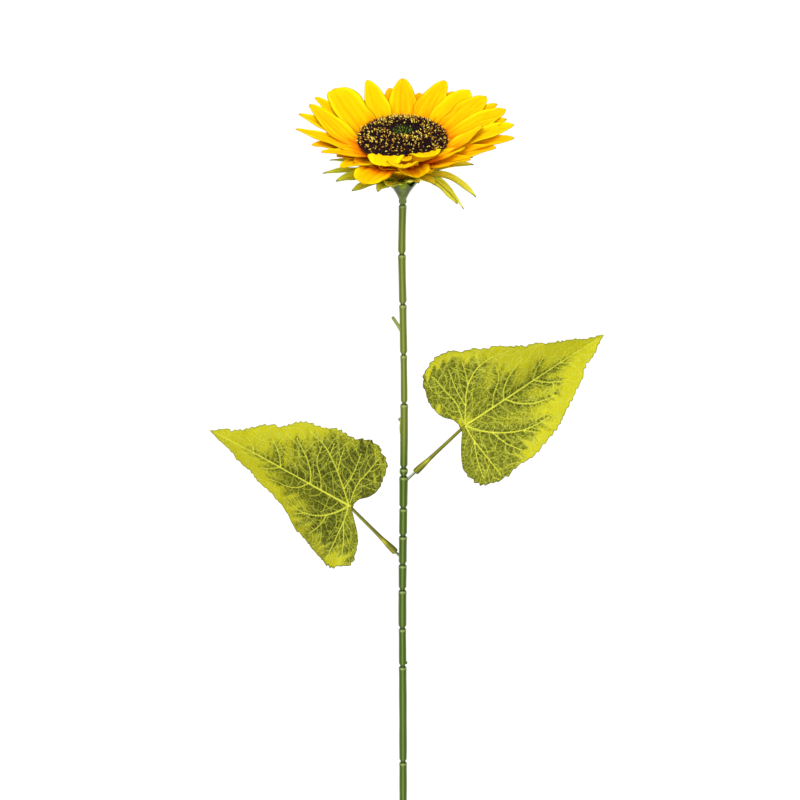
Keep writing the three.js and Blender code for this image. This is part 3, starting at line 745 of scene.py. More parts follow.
def petal_look():
    """Yellow, deepening to orange and red orange with orange print and painted shade."""
    look = Look("petal_cloth", 0.7, 0.03)
    cloth = look.value("cloth", "Vector")
    streaks = look.noise(look.stretched(cloth, (1.0, 0.09, 1)), 1.1, 4)
    body = look.mix(look.noise(cloth, 0.1, 2), (237, 187, 0), (241, 198, 0))
    body = look.over(body, lemon=(243, 214, 4))
    glow = look.math("MULTIPLY", look.value("glow"), look.span(look.value("rear"), 0, 1, 1.0, 0.35))
    # The streaks add painted shade along the pleats.
    warm = look.math("ADD", glow, look.span(streaks, 0.25, 0.75, -0.22, 0.22))
    body = look.mix(look.span(warm, 0.0, 0.6), body, (244, 156, 0))
    body = look.mix(look.span(warm, 0.5, 1.15), body, (238, 100, 4))
    # Painted shade darkens the cut edges.
    body = look.mix(look.math("MULTIPLY", look.value("edge"), 0.62), body, (150, 116, 0))
    return look.finish(body, Normal=look.relief(streaks, 0.22, 0.8, Normal=look.weave(cloth, 0.36, 0.04)))


def bract_look():
    look = Look("bract_cloth", 0.6, 0.2)
    cloth = look.value("cloth", "Vector")
    streaks = look.noise(look.stretched(cloth, (1.0, 0.12, 1)), 1.6, 4)
    body = look.mix(look.span(streaks, 0.3, 0.7), (232, 228, 36), (250, 246, 84))
    body = look.over(body, green=(142, 168, 30), rim=(84, 98, 18))
    return look.finish(body, Normal=look.relief(streaks, 0.2, 0.8, Normal=look.weave(cloth, 0.36, 0.04)))


def flock_look(name, first, second):
    """Plain bristles: two close tones dealt out by a fine noise."""
    look = Look(name, 0.75, 0.15)
    grain = look.noise(look.place(), 1500, 2)
    body = look.mix(look.span(grain, 0.35, 0.65), first, second)
    return look.finish(body, Normal=look.relief(grain, 0.1))


def floor_look():
    look = Look("studio_floor", 0.9, 0.0)
    return look.finish(look.mix(look.noise(look.place(), 3, 2), (250, 250, 250), (252, 252, 252)))


# ---------------------------------------------------------------- stem


def stem_centre(z):
    z = np.asarray(z, float)
    return np.stack(np.broadcast_arrays(flowing(SWAY, z), 0, z), -1)


def stem_radius(z):
    """The radius at heights z, with how far each height lies above and below its nearest pinches."""
    ends, radii = np.array(STEM_LENGTHS).T
    k = np.searchsorted(ends, z)
    below_top = ends[k] - z
    above_foot = np.where(k > 0, z - ends[k - 1], TAPER * 4)  # the foot has no pinch
    round_off = 1 - np.sqrt(1 - (1 - np.clip(below_top / SHOULDER, 0, 1)) ** 2)
    fill_in = 1 - smooth(0, TAPER, above_foot)
    down, long, thick = KNUCKLE
    swell = thick * bump(below_top, down, long) + 0.05 * np.sin(z * 0.21)
    radius = radii[k] + swell - PINCH_DEPTH * np.maximum(round_off, fill_in)
    return radius, above_foot, below_top


def add_shaft(shape):
    """The moulded lengths, with rings close together at the pinches."""
    close = [np.linspace(end - 3, end + 3.2, PINCH_ROWS) for end, _ in STEM_LENGTHS[:-1]]
    close.append(np.linspace(STEM_TOP - 3, STEM_TOP, 14))
    z = np.unique(np.concatenate([np.arange(0, STEM_TOP, STEM_ROW_STEP), *close]))
    z = z[z <= STEM_TOP]
    radius, above_foot, below_top = stem_radius(z)
    turn = full_turn(STEM_SIDES)
    groove = sum(bump_round(turn, np.radians(side), GROOVE_WIDTH) for side in GROOVES)
    crest = sum(bump_round(turn, np.radians(side), CREST_WIDTH) for side in CRESTS)
    seam = sum(SEAM_HEIGHT * bump_round(turn, side, SEAM_WIDTH) for side in SEAMS)
    clear = smooth(0, 0.8, np.minimum(above_foot, below_top))[:, None]
    radii = radius[:, None] * (1 - GROOVE_DEPTH * groove) + seam * clear
    rings = rings_round(stem_centre(z), radii, STEM_SIDES)
    rings[0, :, 2] = 0  # the flat cut
    # Painted shade darkens the pinches and grooves; painted highlights brighten the shoulders below the
    # pinches at the glints and the crests.
    ring = 0.85 * (bump(above_foot, 0, 0.6) + bump(below_top, 0, 0.35))[:, None] + 0.5 * groove
    glint = np.clip(sum(bump_round(turn, side, 0.4) for side in GLINTS), 0.1, 1)
    pale = 0.8 * bump(below_top, 1.3, 0.55)[:, None] * glint + 0.22 * crest
    skin(shape, rings, ring=np.clip(ring, 0, 1), pale=pale)


def add_peg(shape, height, rise, length, radius):
    share, width, dark = np.array(PEG_SHAPE).T
    out = np.array([-np.cos(np.radians(rise)), 0, np.sin(np.radians(rise))])
    centres = stem_centre(height) + out * (share * length)[:, None]
    skin(shape, rings_round(centres, radius * width, PEG_SIDES), ring=dark[:, None], pale=0.3)


def build_stem():
    shape = Shape()
    add_shaft(shape)
    add_peg(shape, *SPARE_PEG)
    add_peg(shape, *TRIMMED_PEG)
    low, high = RIDGE_RUN
    ridge = stem_centre(np.linspace(TRIMMED_PEG[0] + low, TRIMMED_PEG[0] + high, 14)) + RIDGE_PLACE
    ridge_radii = RIDGE_RADIUS * np.sin(np.linspace(0.15, 2.9, 14)) ** 0.6
    skin(shape, rings_round(ridge, ridge_radii, 14), ring=0.0, pale=0.1)
    nub = np.array(NUB)
    skin(shape, rings_round(stem_centre(NUB_HEIGHT) + nub[:, :3], nub[:, 3], 14), ring=0.3, pale=0.0)
    # The post between the top length and the calyx, bent by the nod.
    bend = spline([stem_centre(STEM_TOP - 2), stem_centre(STEM_TOP) + [0, 0, 0.3], nodded([0, 0, 2.0])], 0.25)
    # Painted shade darkens the post where it shows in the gap under the calyx.
    skin(shape, rings_round(bend, np.full(len(bend), HEAD_POST_RADIUS), 32), ring=0.8, pale=0.0)
    shape.piece("stem_shaft", stem_look(), ["stem"])


def build_leaf_pegs():
    """A peg for each leaf, from the middle of the shaft through the stalk's socket."""
    shape = Shape()
    share = np.r_[np.linspace(0, 0.92, 12), 0.97, 1]
    radii = LEAF_PEG_RADIUS * np.r_[1.5, 1.35, 1.2, np.ones(9), 0.85, 0.4]
    for leaf in LEAVES.values():
        mouth = np.array(leaf["socket"], float)
        heading = unit(np.array(leaf["joint"]) - mouth)
        root = mouth - heading * mouth[0] / heading[0]
        tip = mouth + heading * LEAF_PEG_IN_SOCKET
        rings = rings_round(root + (tip - root) * share[:, None], radii, PEG_SIDES)
        # `under` is painted shade on the peg's underside.
        skin(shape, rings, under=bump(full_turn(PEG_SIDES), 1.75 * np.pi, 1.4))
    shape.piece("leaf_pegs", peg_look())


# ---------------------------------------------------------------- leaves


def leaf_frame(leaf):
    """A leaf's joint and length, and its directions: along the midrib, out of its face, and across."""
    joint = np.array(leaf["joint"], float)
    midrib = np.array(leaf["tip"], float) - joint
    length = np.linalg.norm(midrib)
    along = midrib / length
    tipped = np.radians(BLADE_TIPPED_BACK)
    front = np.array([0, -np.cos(tipped), np.sin(tipped)])
    front = unit(front - along * (front @ along))
    upward = unit(np.cross(along, front))
    return joint, length, along, front, upward if upward[2] > 0 else -upward


def on_blade(leaf, flat):
    """Where flat blade points [along the midrib, across it] in millimetres lie on the folded, bowed blade."""
    joint, length, along, front, upward = leaf_frame(leaf)
    run, out = flat[:, 0], flat[:, 1]
    share = np.clip(run / length, 0, 1)
    folds = [np.interp(share, (0, 0.5, 1), leaf[half]) for half in ("upper", "lower")]
    fold = np.radians(np.where(out > 0, *folds))
    drawn = run + LOBE_SHEAR * out * (1 - share)
    off = np.sqrt(out**2 + 1) - 1  # how far across, softened so that the fold is round
    depth = off * np.sin(fold) - BLADE_BOW * np.sin(np.pi * share)
    return joint + drawn[:, None] * along + (out * np.cos(fold))[:, None] * upward + depth[:, None] * front


def inside(points, outline):
    """Which points lie inside a closed outline."""
    x, y = points[:, 0, None], points[:, 1, None]
    a, b = outline, np.roll(outline, -1, axis=0)
    spans = (a[:, 1] > y) != (b[:, 1] > y)
    rise = np.where(b[:, 1] == a[:, 1], 1e-9, b[:, 1] - a[:, 1])
    return (spans & (x < a[:, 0] + (y - a[:, 1]) * (b[:, 0] - a[:, 0]) / rise)).sum(1) % 2 == 1


def segment_distance(points, starts, ends):
    run = ends - starts
    t = np.clip(((points - starts) * run).sum(-1) / np.maximum((run * run).sum(-1), 1e-9), 0, 1)
    return np.linalg.norm(points - starts - run * t[..., None], axis=-1)


def nearest(points, starts, ends):
    """Each point's distances to a few of its nearest short segments, and which segments they are."""
    tree = KDTree(len(starts))
    for k, (x, y) in enumerate((starts + ends) / 2):
        tree.insert((x, y, 0), k)
    tree.balance()
    found = np.array([[k for _, k, _ in tree.find_n((x, y, 0), SEGMENTS_TRIED)] for x, y in points])
    return segment_distance(points[:, None], starts[found], ends[found]), found


def distance_to(points, starts, ends):
    return nearest(points, starts, ends)[0].min(1)


def rim_distance(points, outline):
    return distance_to(points, outline, np.roll(outline, -1, axis=0))


def toothed(edge, length, rng):
    """One half's outline in millimetres from the tip to the notch, with saw teeth that point to the tip."""
    line = spline(np.array(edge) * length, EDGE_STEP)
    run = run_along(line)
    stops = [2.0]
    while stops[-1] < run[-1]:
        stops.append(stops[-1] + TOOTH_SPACING * rng.uniform(0.5, 1.5))
    stops = np.array(stops)
    depths = rng.uniform(0.35, 1.2, len(stops))
    k = np.clip(np.searchsorted(stops, run, side="right") - 1, 0, len(stops) - 2)
    share = np.clip((run - stops[k]) / (stops[k + 1] - stops[k]), 0, 1)
    tooth = np.where(share < TOOTH_BACK, share / TOOTH_BACK, (1 - share) / (1 - TOOTH_BACK)) * depths[k]
    heading = unit(np.gradient(line, axis=0))
    outward = np.stack([heading[:, 1], -heading[:, 0]], -1) * -np.sign(line[:, 1].mean())
    fade = smooth(0, 8, run) * smooth(run[-1] * 0.95, run[-1] * 0.75, run)
    swell = EDGE_SWELL * waves(run[:, None], 20, int(rng.integers(1000)))
    return line + outward * ((TOOTH_DEPTH * (tooth - 0.4) + swell) * fade)[:, None]


def leaf_outline(leaf, length, rng):
    upper = toothed(UPPER_EDGE, length, rng)
    upper *= 1 - leaf["trim"] * smooth(0.5, 0.1, upper[:, :1] / length)
    lower = toothed(LOWER_EDGE, length, rng)
    ring = np.concatenate([lower, upper[::-1][:-1]])
    keep = np.linalg.norm(ring - np.roll(ring, 1, axis=0), axis=1) > 0.05
    return ring[keep]


def main_veins(leaf, length):
    """Each main vein's half width at its root, and its line of points."""
    lines = [(half, spline(np.array(points) * length, VEIN_STEP)) for half, points in VEINS]
    upper = spline(np.array(leaf["upper_vein"]) * length, VEIN_STEP)
    lines.append((UPPER_VEIN_HALF_WIDTH, upper))
    for half, share, points in UPPER_BRANCHES:
        root = upper[int(share * len(upper))]
        lines.append((half, root + spline(np.array(points) * length, VEIN_STEP)))
    return lines


def side_vein(root, heading, bend, others, outline, rng):
    """The line of a thin vein that wanders off until it meets another vein or the margin."""
    path = [root]
    for step in range(SIDE_VEIN_STEPS):
        after = path[-1] + SIDE_VEIN_STEP * np.array([np.cos(heading), np.sin(heading)])
        heading += bend + np.radians(rng.normal(0, SIDE_VEIN_WANDER))
        path.append(after)
        met = step > 2 and segment_distance(after, *others).min() < 0.7
        if met or not inside(after[None], outline)[0]:
            break
    return np.array(path)


def vein_net(leaf, length, outline, rng):
    """Starts, ends and half widths of the veins' short segments, and how many of them are the main veins',
    which come first. The main veins throw off side veins to the left and right by turns."""
    lines = main_veins(leaf, length)
    veins = [(line[:-1], line[1:], half * np.linspace(0.88, 0.5, len(line) - 1)) for half, line in lines]
    strong = sum(len(starts) for starts, _, _ in veins)
    for k, (_, line) in enumerate(lines):
        starts, ends, _ = zip(*veins[:k], *veins[k + 1 :])
        others = np.concatenate(starts), np.concatenate(ends)
        run, side = rng.uniform(2, 4), 1
        while run < VEIN_STEP * (len(line) - 1) * 0.97:
            step = int(run / VEIN_STEP)
            ahead = line[step + 1] - line[step]
            heading = np.arctan2(ahead[1], ahead[0]) + side * np.radians(rng.uniform(48, 68))
            bend = -side * np.radians(rng.uniform(1.0, 3.2))
            path = side_vein(line[step], heading, bend, others, outline, rng)
            if len(path) > 4:
                widths = SIDE_VEIN_HALF_WIDTH * np.linspace(1.1, 0.7, len(path) - 1)
                veins.append((path[:-1], path[1:], widths))
            side = -side
            run += SIDE_VEIN_SPACING * rng.uniform(0.75, 1.3)
    starts, ends, widths = (np.concatenate(parts) for parts in zip(*veins))
    return starts, ends, widths, strong


def corners_of(places, triangles):
    return (places[triangles[:, i]] for i in range(3))


def blade_points(outline, starts, ends):
    """Points over the flat blade and triangles between them: the outline, the main veins' own lines, and an
    even triangular grid."""
    low, high = outline.min(0), outline.max(0)
    xs = np.arange(low[0], high[0], BLADE_GRAIN)
    ys = np.arange(low[1], high[1], BLADE_GRAIN * np.sqrt(3) / 2)
    grid = np.stack(np.meshgrid(xs, ys), -1)
    grid[1::2, :, 0] += BLADE_GRAIN / 2
    threads = np.concatenate([starts + (ends - starts) * t for t in (0, 1 / 3, 2 / 3)])
    both = np.unique(threads.round(2), axis=0), grid.reshape(-1, 2)
    both = (points[inside(points, outline)] for points in both)
    threads, grid = (points[rim_distance(points, outline) > BLADE_GRAIN / 2] for points in both)
    grid = grid[distance_to(grid, starts, ends) > BLADE_GRAIN * 0.42]
    flat = np.concatenate([outline, threads, grid])
    flat, _, triangles, *_ = delaunay_2d_cdt(flat.tolist(), [], [list(range(len(outline)))], 1, 1e-4)
    flat, triangles = np.array(flat), np.array(triangles)
    a, b, c = corners_of(flat, triangles)
    turn = (b - a)[:, 0] * (c - a)[:, 1] - (b - a)[:, 1] * (c - a)[:, 0]
    triangles[turn < 0] = triangles[turn < 0][:, ::-1]
    return flat, triangles


def blade_wash(leaf, flat, share, to_main, to_rim, seed):
    """How yellow the blade is printed, from -0.6 to 1: in flames that lick inwards from the margin along the
    side veins, all over towards the tip, between the veins, and in the leaf's own patches. It is lowered by a
    painted shadow beside the main veins, and by the leaf's `depth` near the stalk."""
    swell = waves(flat, 26, seed + 1)
    lean = np.radians(VEIN_LEAN) * np.sign(flat[:, 1])
    with_veins = flat[:, 0] * np.cos(lean) + flat[:, 1] * np.sin(lean)
    cross_veins = flat[:, 1] * np.cos(lean) - flat[:, 0] * np.sin(lean)
    flames = waves(np.stack([with_veins * 0.2, cross_veins], -1), 4.5, seed + 6)
    margin, lobe_margin = (np.where(flat[:, 1] > 0, *leaf[key]) for key in ("margin", "lobe_margin"))
    margin = margin + (lobe_margin - margin) * smooth(*LOBES, share)
    wash = smooth(0, 1, (margin - to_rim - 6 * swell - 5 * flames) / np.maximum(margin, 8))
    wash += 0.8 * smooth(0.5, 0.95, share + 0.1 * swell + 0.06 * flames)
    between = np.maximum(smooth(1.5, 6, to_main + 2 * flames), smooth(15, 7, to_rim + 2 * flames))
    wash += 0.5 * between * smooth(0.1, 0.55, share + 0.2 * swell)
    # Painted shadow darkens the cloth beside the main veins, away from the rim.
    wash -= 0.36 * bump(to_main, 1.3, 1.0) * smooth(4, 16, to_rim) + leaf["depth"] * smooth(0.6, 0.2, share)
    for *middle, radius, strength in leaf["patches"]:
        off = np.linalg.norm(flat / leaf_frame(leaf)[1] - middle, axis=1) + 0.02 * flames + 0.02 * swell
        wash += strength * bump(off, 0, radius)
    return np.clip(wash, -0.6, 1)


def facing_of(places, triangles):
    """Which way a surface of triangles faces at each of its points."""
    a, b, c = corners_of(places, triangles)
    faces = np.cross(b - a, c - a)
    facing = np.zeros_like(places)
    for i in range(3):
        np.add.at(facing, triangles[:, i], faces)
    return unit(facing)


def open_edges(triangles):
    """The edges that only one triangle has, in that triangle's direction."""
    directed = np.concatenate([triangles[:, [0, 1]], triangles[:, [1, 2]], triangles[:, [2, 0]]])
    _, first, times = np.unique(np.sort(directed, axis=1), axis=0, return_index=True, return_counts=True)
    return directed[first[times == 1]]


def build_blade(side, leaf, seed, material):
    rng = np.random.default_rng(seed)
    _, length, _, front, _ = leaf_frame(leaf)
    outline = leaf_outline(leaf, length, rng)
    starts, ends, widths, strong = vein_net(leaf, length, outline, rng)
    flat, triangles = blade_points(outline, starts[:strong], ends[:strong])

    away, which = nearest(flat, starts, ends)
    to_vein = away.min(1)
    in_widths = (away / widths[which]).min(1)
    to_main = distance_to(flat, starts[:strong], ends[:strong])
    to_rim = rim_distance(flat, outline)
    share = flat[:, 0] / length
    vein = smooth(1.9, 0.55, in_widths) * np.where(to_main <= to_vein + 1e-6, 1.0, 0.6)
    rim = smooth(0.7, 0.1, to_rim) * np.clip(0.55 + 0.5 * smooth(*LOBES, share), 0, 1)

    # The folded blade is puffed between its veins and waved towards its margin.
    puff = 0.5 * (1 - bump(to_main, 0, 3.0)) + 0.22 * (1 - bump(to_vein, 0, 1.1))
    wave = 1.3 * waves(flat, 30, seed + 2) * smooth(16, 0, to_rim)
    wave += 0.35 * waves(flat, 9, seed + 3) * smooth(6, 0, to_rim)
    ridge = 0.2 * smooth(1.6, 0.2, in_widths)
    places = on_blade(leaf, flat) + (0.45 * puff + wave + ridge)[:, None] * front
    facing = facing_of(places, triangles)
    if (facing @ front).mean() < 0:
        facing, triangles = -facing, triangles[:, ::-1]

    count = len(flat)
    start, end = open_edges(triangles).T
    spread = (flat - outline.min(0)) / np.ptp(outline, axis=0).max() * 0.49 + 0.005
    drift = np.stack([waves(flat, 7, seed + 4), waves(flat, 7, seed + 5), np.zeros(count)], -1) * 0.8
    shape = Shape()
    shape.add(
        np.concatenate([places, places - facing * BLADE_THICKNESS]),
        quads=np.stack([start + count, end + count, end, start], -1),
        triangles=np.concatenate([triangles, triangles[:, ::-1] + count]),
        flat=np.concatenate([spread, spread + [0, 0.5]]),
        wash=np.tile(blade_wash(leaf, flat, share, to_main, to_rim, seed), 2),
        vein=np.tile(vein, 2),
        rim=np.tile(rim, 2),
        rear=np.repeat([0, 0.55], count),
        cloth=np.tile(np.c_[flat, np.zeros(count)], (2, 1)),
        drift=np.tile(drift, (2, 1)),
    )
    shape.piece(f"leaf_{side}_cloth", material, [f"leaf_{side}_blade"])


def build_stalk(side, leaf, material):
    """One limb from the bottom of the bore out to the mouth, along the stalk and up the blade's back."""
    joint, length, _, front, _ = leaf_frame(leaf)
    mouth = np.array(leaf["socket"], float)
    behind = joint - front * (BLADE_THICKNESS + STALK_BEHIND)
    bore_share, bore_radii = np.array(BORE_SHAPE).T
    bore = mouth + unit(behind - mouth) * (SOCKET_DEPTH * bore_share)[:, None]
    share = np.r_[0, 0.012, 0.03, 0.055, np.linspace(0.08, 1, 36)]
    free = mouth + (behind - mouth) * share[:, None]
    steps = np.linspace(0, 1, 50)[1:]
    rib_radii = RIB_RADIUS + (RIB_END_RADIUS - RIB_RADIUS) * steps
    rib = on_blade(leaf, np.stack([steps * RIB_SHARE * length, 0 * steps], -1))
    rib = rib - front * (BLADE_THICKNESS + 0.15 + rib_radii)[:, None]
    turn = full_turn(STALK_SIDES)
    radii = np.r_[flowing(STALK_SHAPE, share), rib_radii][:, None] * (1 + 0.05 * np.cos(3 * turn + 0.6))
    rings = rings_round(np.concatenate([free, rib]), radii, STALK_SIDES)
    rings = np.concatenate([rings_round(bore, bore_radii, STALK_SIDES)[::-1], rings])
    way = np.r_[np.full(len(bore), -1), share, 1 + steps][:, None]  # less than 0 in the bore
    # Painted shade darkens two sides and the bore; painted highlights brighten one side and the socket's
    # narrow end.
    dark = 0.55 * bump(turn, 1.5 * np.pi + 0.9, 0.35) + 0.35 * bump(turn, np.pi * 0.9, 0.5)
    pale = 0.75 * bump(way, 0.24, 0.05) * bump(turn, 1.5 * np.pi, 0.8)
    pale = np.clip(pale + 0.35 * bump(turn, 1.5 * np.pi - 0.3, 0.35), 0, 1)
    shape = Shape()
    skin(shape, rings, ring=np.where(way < 0, 0.8, dark), pale=np.where(way < 0, 0, pale))
    shape.piece(f"leaf_{side}_stalk_moulding", material, [f"leaf_{side}_stalk"])


# ---------------------------------------------------------------- head


def bowl_height(ring, radius):
    """How high a ring's cloth lies at a radius inside its bowl."""
    share = np.clip((radius - POST_RADIUS) / (ring["bowl"] - POST_RADIUS), 0, 1)
    return ring["seat"] + (ring["edge"] - ring["seat"]) * (np.sin(share * np.pi / 2) + share) / 2


def centre_line(ring, row, leave_slope, leave_share, arrive_share, rows):
    """Points and headings from a ring's bowl out to a tip, closer together towards the tip. Also their shares
    of the length, the length, and the level direction from the root to the tip."""
    root_bearing, tip_bearing, reach, height, _, _, tip_slope = row
    root_turn, tip_turn, leaving, arriving = np.radians([root_bearing, tip_bearing, leave_slope, tip_slope])
    start = polar(ring["start"], root_turn, bowl_height(ring, ring["start"]))
    end = polar(reach, tip_turn, height)
    span = np.linalg.norm(end - start)
    level = unit((end - start) * [1, 1, 0])
    leave = polar(np.cos(leaving), root_turn, np.sin(leaving))
    arrive = level * np.cos(arriving) + np.array([0, 0, np.sin(arriving)])
    knots = [start, start + leave * span * leave_share, end - arrive * span * arrive_share, end]
    t = np.linspace(0, 1, 400)[:, None]
    curve = sum(n * (1 - t) ** (3 - i) * t**i * knot for i, (n, knot) in enumerate(zip((1, 3, 3, 1), knots)))
    run = run_along(curve)
    share = 1 - (1 - np.linspace(0, 1, rows)) ** 1.5
    at, heading = (
        np.stack([np.interp(share * run[-1], run, part) for part in values.T], -1)
        for values in (curve, np.gradient(curve, axis=0))
    )
    return at, unit(heading), share, run[-1], level


def swing(along, low, high, rng):
    """Angles that go round a random number of times along a strip."""
    return 2 * np.pi * (rng.uniform(low, high) * along + rng.uniform(0, 1))


def strip(
    ring, row, outline, rng, size, cup, crimp, leave_slope, leave_share=CURVE_PULL, arrive_share=CURVE_PULL,
    notch=0.0, wrap=0.0,
):
    """A petal or bract as a grid of points and their places on its cloth, with the shares along it, the
    places across it from -1 to 1, and its folds. `cup` raises its sides, `crimp` ripples them, `notch` cuts
    into its end, and `wrap` bends it round the head."""
    rows, columns = size
    _, _, reach, _, half, roll, _ = row
    at, heading, share, length, level = centre_line(ring, row, leave_slope, leave_share, arrive_share, rows)
    beside = np.cross([0, 0, 1], level)
    side = unit(beside - heading * (heading @ beside)[:, None])
    lift = np.cross(heading, side)
    turn = np.radians(roll * smooth(0, 0.5, share))[:, None]
    side, lift = side * np.cos(turn) + lift * np.sin(turn), lift * np.cos(turn) - side * np.sin(turn)
    along, across = share[:, None], np.linspace(-1, 1, columns)
    width = half * flowing(outline, along)
    # Folds run along it, with a crease down its middle and a ripple along its sides.
    body = smooth(0, 0.25, along) * smooth(1.02, 0.75, along)
    folds = np.cos(2 * np.pi * (FOLDS * across + rng.uniform(-0.12, 0.12)))
    crease = -CREASE_DEPTH * bump(across, rng.uniform(-0.06, 0.06), CREASE_WIDTH)
    ripple = crimp * np.abs(across) ** 2.5 * np.sin(swing(along, 1.5, 2.4, rng) + 1.2 * np.sign(across))
    rise = cup * np.abs(across) ** 1.8 * width + body * (FOLD_HEIGHT * folds + crease + ripple)
    edge = 1 + EDGE_WAVER * np.sin(swing(along, 2, 3.2, rng)) * np.sign(across)
    back = notch * bump(across, rng.uniform(-0.35, 0.35), 0.3) * smooth(0.86, 1, along)
    inward = wrap * (width * across) ** 2 / (2 * reach)
    grid = (
        at[:, None]
        - inward[..., None] * level
        + side[:, None] * (width * across * edge)[..., None]
        + lift[:, None] * rise[..., None]
        - heading[:, None] * back[..., None]
    )
    cloth = np.stack(np.broadcast_arrays(width * across, along * length, 0.0), -1)
    return grid, cloth, along, across, folds


def cells_of(count):
    """Places on the flat map for a number of strips, row by row."""
    rows = -(-count // MAP_COLUMNS)
    wide, high = CELL_FILL / MAP_COLUMNS, CELL_FILL / rows
    return [((k % MAP_COLUMNS) / MAP_COLUMNS, (k // MAP_COLUMNS) / rows, wide, high) for k in range(count)]


def ring_bowl(shape, ring, cell, **values):
    """The uncut middle of a ring, from the post to under its petals."""
    outer = ring["start"] + BOWL_LAP
    rows, columns = BOWL_GRID
    radius = np.linspace(POST_RADIUS + 0.3, outer, rows)[:, None]
    turn = np.radians(np.linspace(0, 360, columns))
    grid = polar(radius, turn, bowl_height(ring, radius))
    grid[..., 2] += BOWL_RUFFLE_HEIGHT * np.sin(BOWL_RUFFLES * turn) * smooth(8, outer, radius)
    sheet(shape, grid, PETAL_THICKNESS, cell, grid * [1, 1, 0], **values)


def build_petals(level, groups, depth, seed, material):
    """One ring as a single mesh. The groups are as in UPPER_PETALS, `depth` is the ring's share of orange,
    painted shade that deepens the lower rings under the upper ones.
    """
    rng = np.random.default_rng(seed)
    shape = Shape()
    petals = [(row, *rules) for *rules, rows in groups for row in rows]
    cells = cells_of(len(petals) + 1)
    ring_bowl(shape, RINGS[level], cells[0], glow=0.75, lemon=0.0, edge=0.0)
    for k, (row, ring, outline, rise, orange) in enumerate(petals):
        front = np.clip(-np.sin(np.radians(row[1])), 0, 1)
        upright = ring != level
        cup = rng.uniform(*PETAL_CUPS) if rise is None else rise
        notch = rng.choice(PETAL_NOTCHES)
        crimp = rng.uniform(*PETAL_CRIMPS)
        root_slope = ROOT_SLOPE + (FRONT_ROOT_SLOPE - ROOT_SLOPE) * front
        grid, cloth, along, across, folds = strip(
            RINGS[ring], row, outline, rng, PETAL_GRID, cup, crimp,
            leave_slope=UPRIGHT_ROOT_SLOPE if upright else root_slope,
            leave_share=1.0 if upright else CURVE_PULL,
            notch=notch,
            wrap=float(upright),
        )
        aside = np.abs(across)
        if orange is None:
            orange = 0.42 + (0.4 if outline is BLUNT_SHAPE else 0.15) * front
        # The orange spreads from the root as print. Painted shade adds orange along the middle crease, on one
        # side, between the folds, on the front petals and by the ring's depth.
        glow = 0.85 * smooth(orange, 0.05, along) + 0.3 * bump(across, 0, 0.2) * smooth(0.85, 0.2, along)
        glow = glow + 0.12 * front * smooth(0.8, 0.3, aside) + depth + rng.uniform(-0.12, 0.18)
        glow = glow + 0.34 * smooth(0.3, 1.0, across * rng.choice([-1, 1])) * smooth(0.9, 0.3, along)
        glow = glow - 0.12 * folds * smooth(1.0, 0.6, along)
        lemon = smooth(0.5, 0.85, aside) * smooth(0.25, 0.6, along) + 0.6 * smooth(0.8, 1.0, along)
        # `edge` is painted shade along the cut edges.
        edge = smooth(0.92, 1.0, aside) * smooth(0.1, 0.4, along) + smooth(0.97, 1.0, along)
        lemon, edge = np.clip(lemon, 0, 1), np.clip(edge, 0, 1)
        cloth = cloth + [40 * k, 0, seed]
        sheet(shape, grid, PETAL_THICKNESS, cells[k + 1], cloth, glow=glow, lemon=lemon, edge=edge)
    shape.piece(f"petals_{level}", material, [f"petal_ring_{level}"])


def lower_petals(seed):
    """The lowest ring: even petals, a little longer at the sides, drooping at the front."""
    rng = np.random.default_rng(seed)
    rows = []
    for k in range(LOWER_PETAL_COUNT):
        bearing = 360 / LOWER_PETAL_COUNT * k + rng.uniform(-3, 3)
        aside, behind = np.cos(np.radians(bearing)), np.sin(np.radians(bearing))
        front = max(0.0, -behind)
        reach = 57 + 3 * aside + 3 * behind - 19 * front**0.8 + rng.uniform(-1.5, 1.5)
        height = 47 + 3 * behind - 5 * front + rng.uniform(-1, 1)
        tip_bearing = bearing + rng.uniform(-4, 4)
        roll = rng.uniform(-8, 8)
        rows.append((bearing, tip_bearing, reach, height, LOWER_PETAL_HALF_WIDTH, roll, 10 - 22 * front))
    return [("lower", PETAL_SHAPE, None, None, rows)]


def build_bracts(seed):
    rng = np.random.default_rng(seed)
    ring = RINGS["bract"]
    shape = Shape()
    cells = cells_of(len(BRACTS) + 1)
    ring_bowl(shape, ring, cells[0], green=0.5, rim=0.0)
    for k, (bearing, reach, height, half, tip_slope, green_and_shade) in enumerate(BRACTS):
        spread = tip_slope > HANGING_SLOPE
        way = "spread" if spread else "hanging beside" if bearing > 300 else "hanging in front"
        roll = rng.uniform(-18, 18) * spread
        row = (bearing, bearing + rng.uniform(-2, 2), reach, height, half, roll, tip_slope)
        cup = rng.uniform(*BRACT_CUPS) * (1.0 if spread else 0.5)
        grid, cloth, along, across, _ = strip(
            ring, row, BRACT_SHAPE, rng, BRACT_GRID, cup, BRACT_CRIMP, *BRACT_WAYS[way]
        )
        # `green_and_shade` is painted shade on the bracts at the back and the left, and green cloth on the
        # front one.
        green = 0.6 * smooth(0.4, 0.0, along) + 0.2 * bump(across, 0, 0.25) + green_and_shade
        rim = 0.75 * smooth(0.78, 1.0, np.abs(across)) + 0.8 * smooth(0.92, 1.0, along)
        green, rim = np.clip(green, 0, 1), np.clip(rim, 0, 1)
        sheet(shape, grid, BRACT_THICKNESS, cells[k + 1], cloth + [20 * k, 0, 0], green=green, rim=rim)
    shape.piece("bracts", bract_look(), ["bract_ring"])


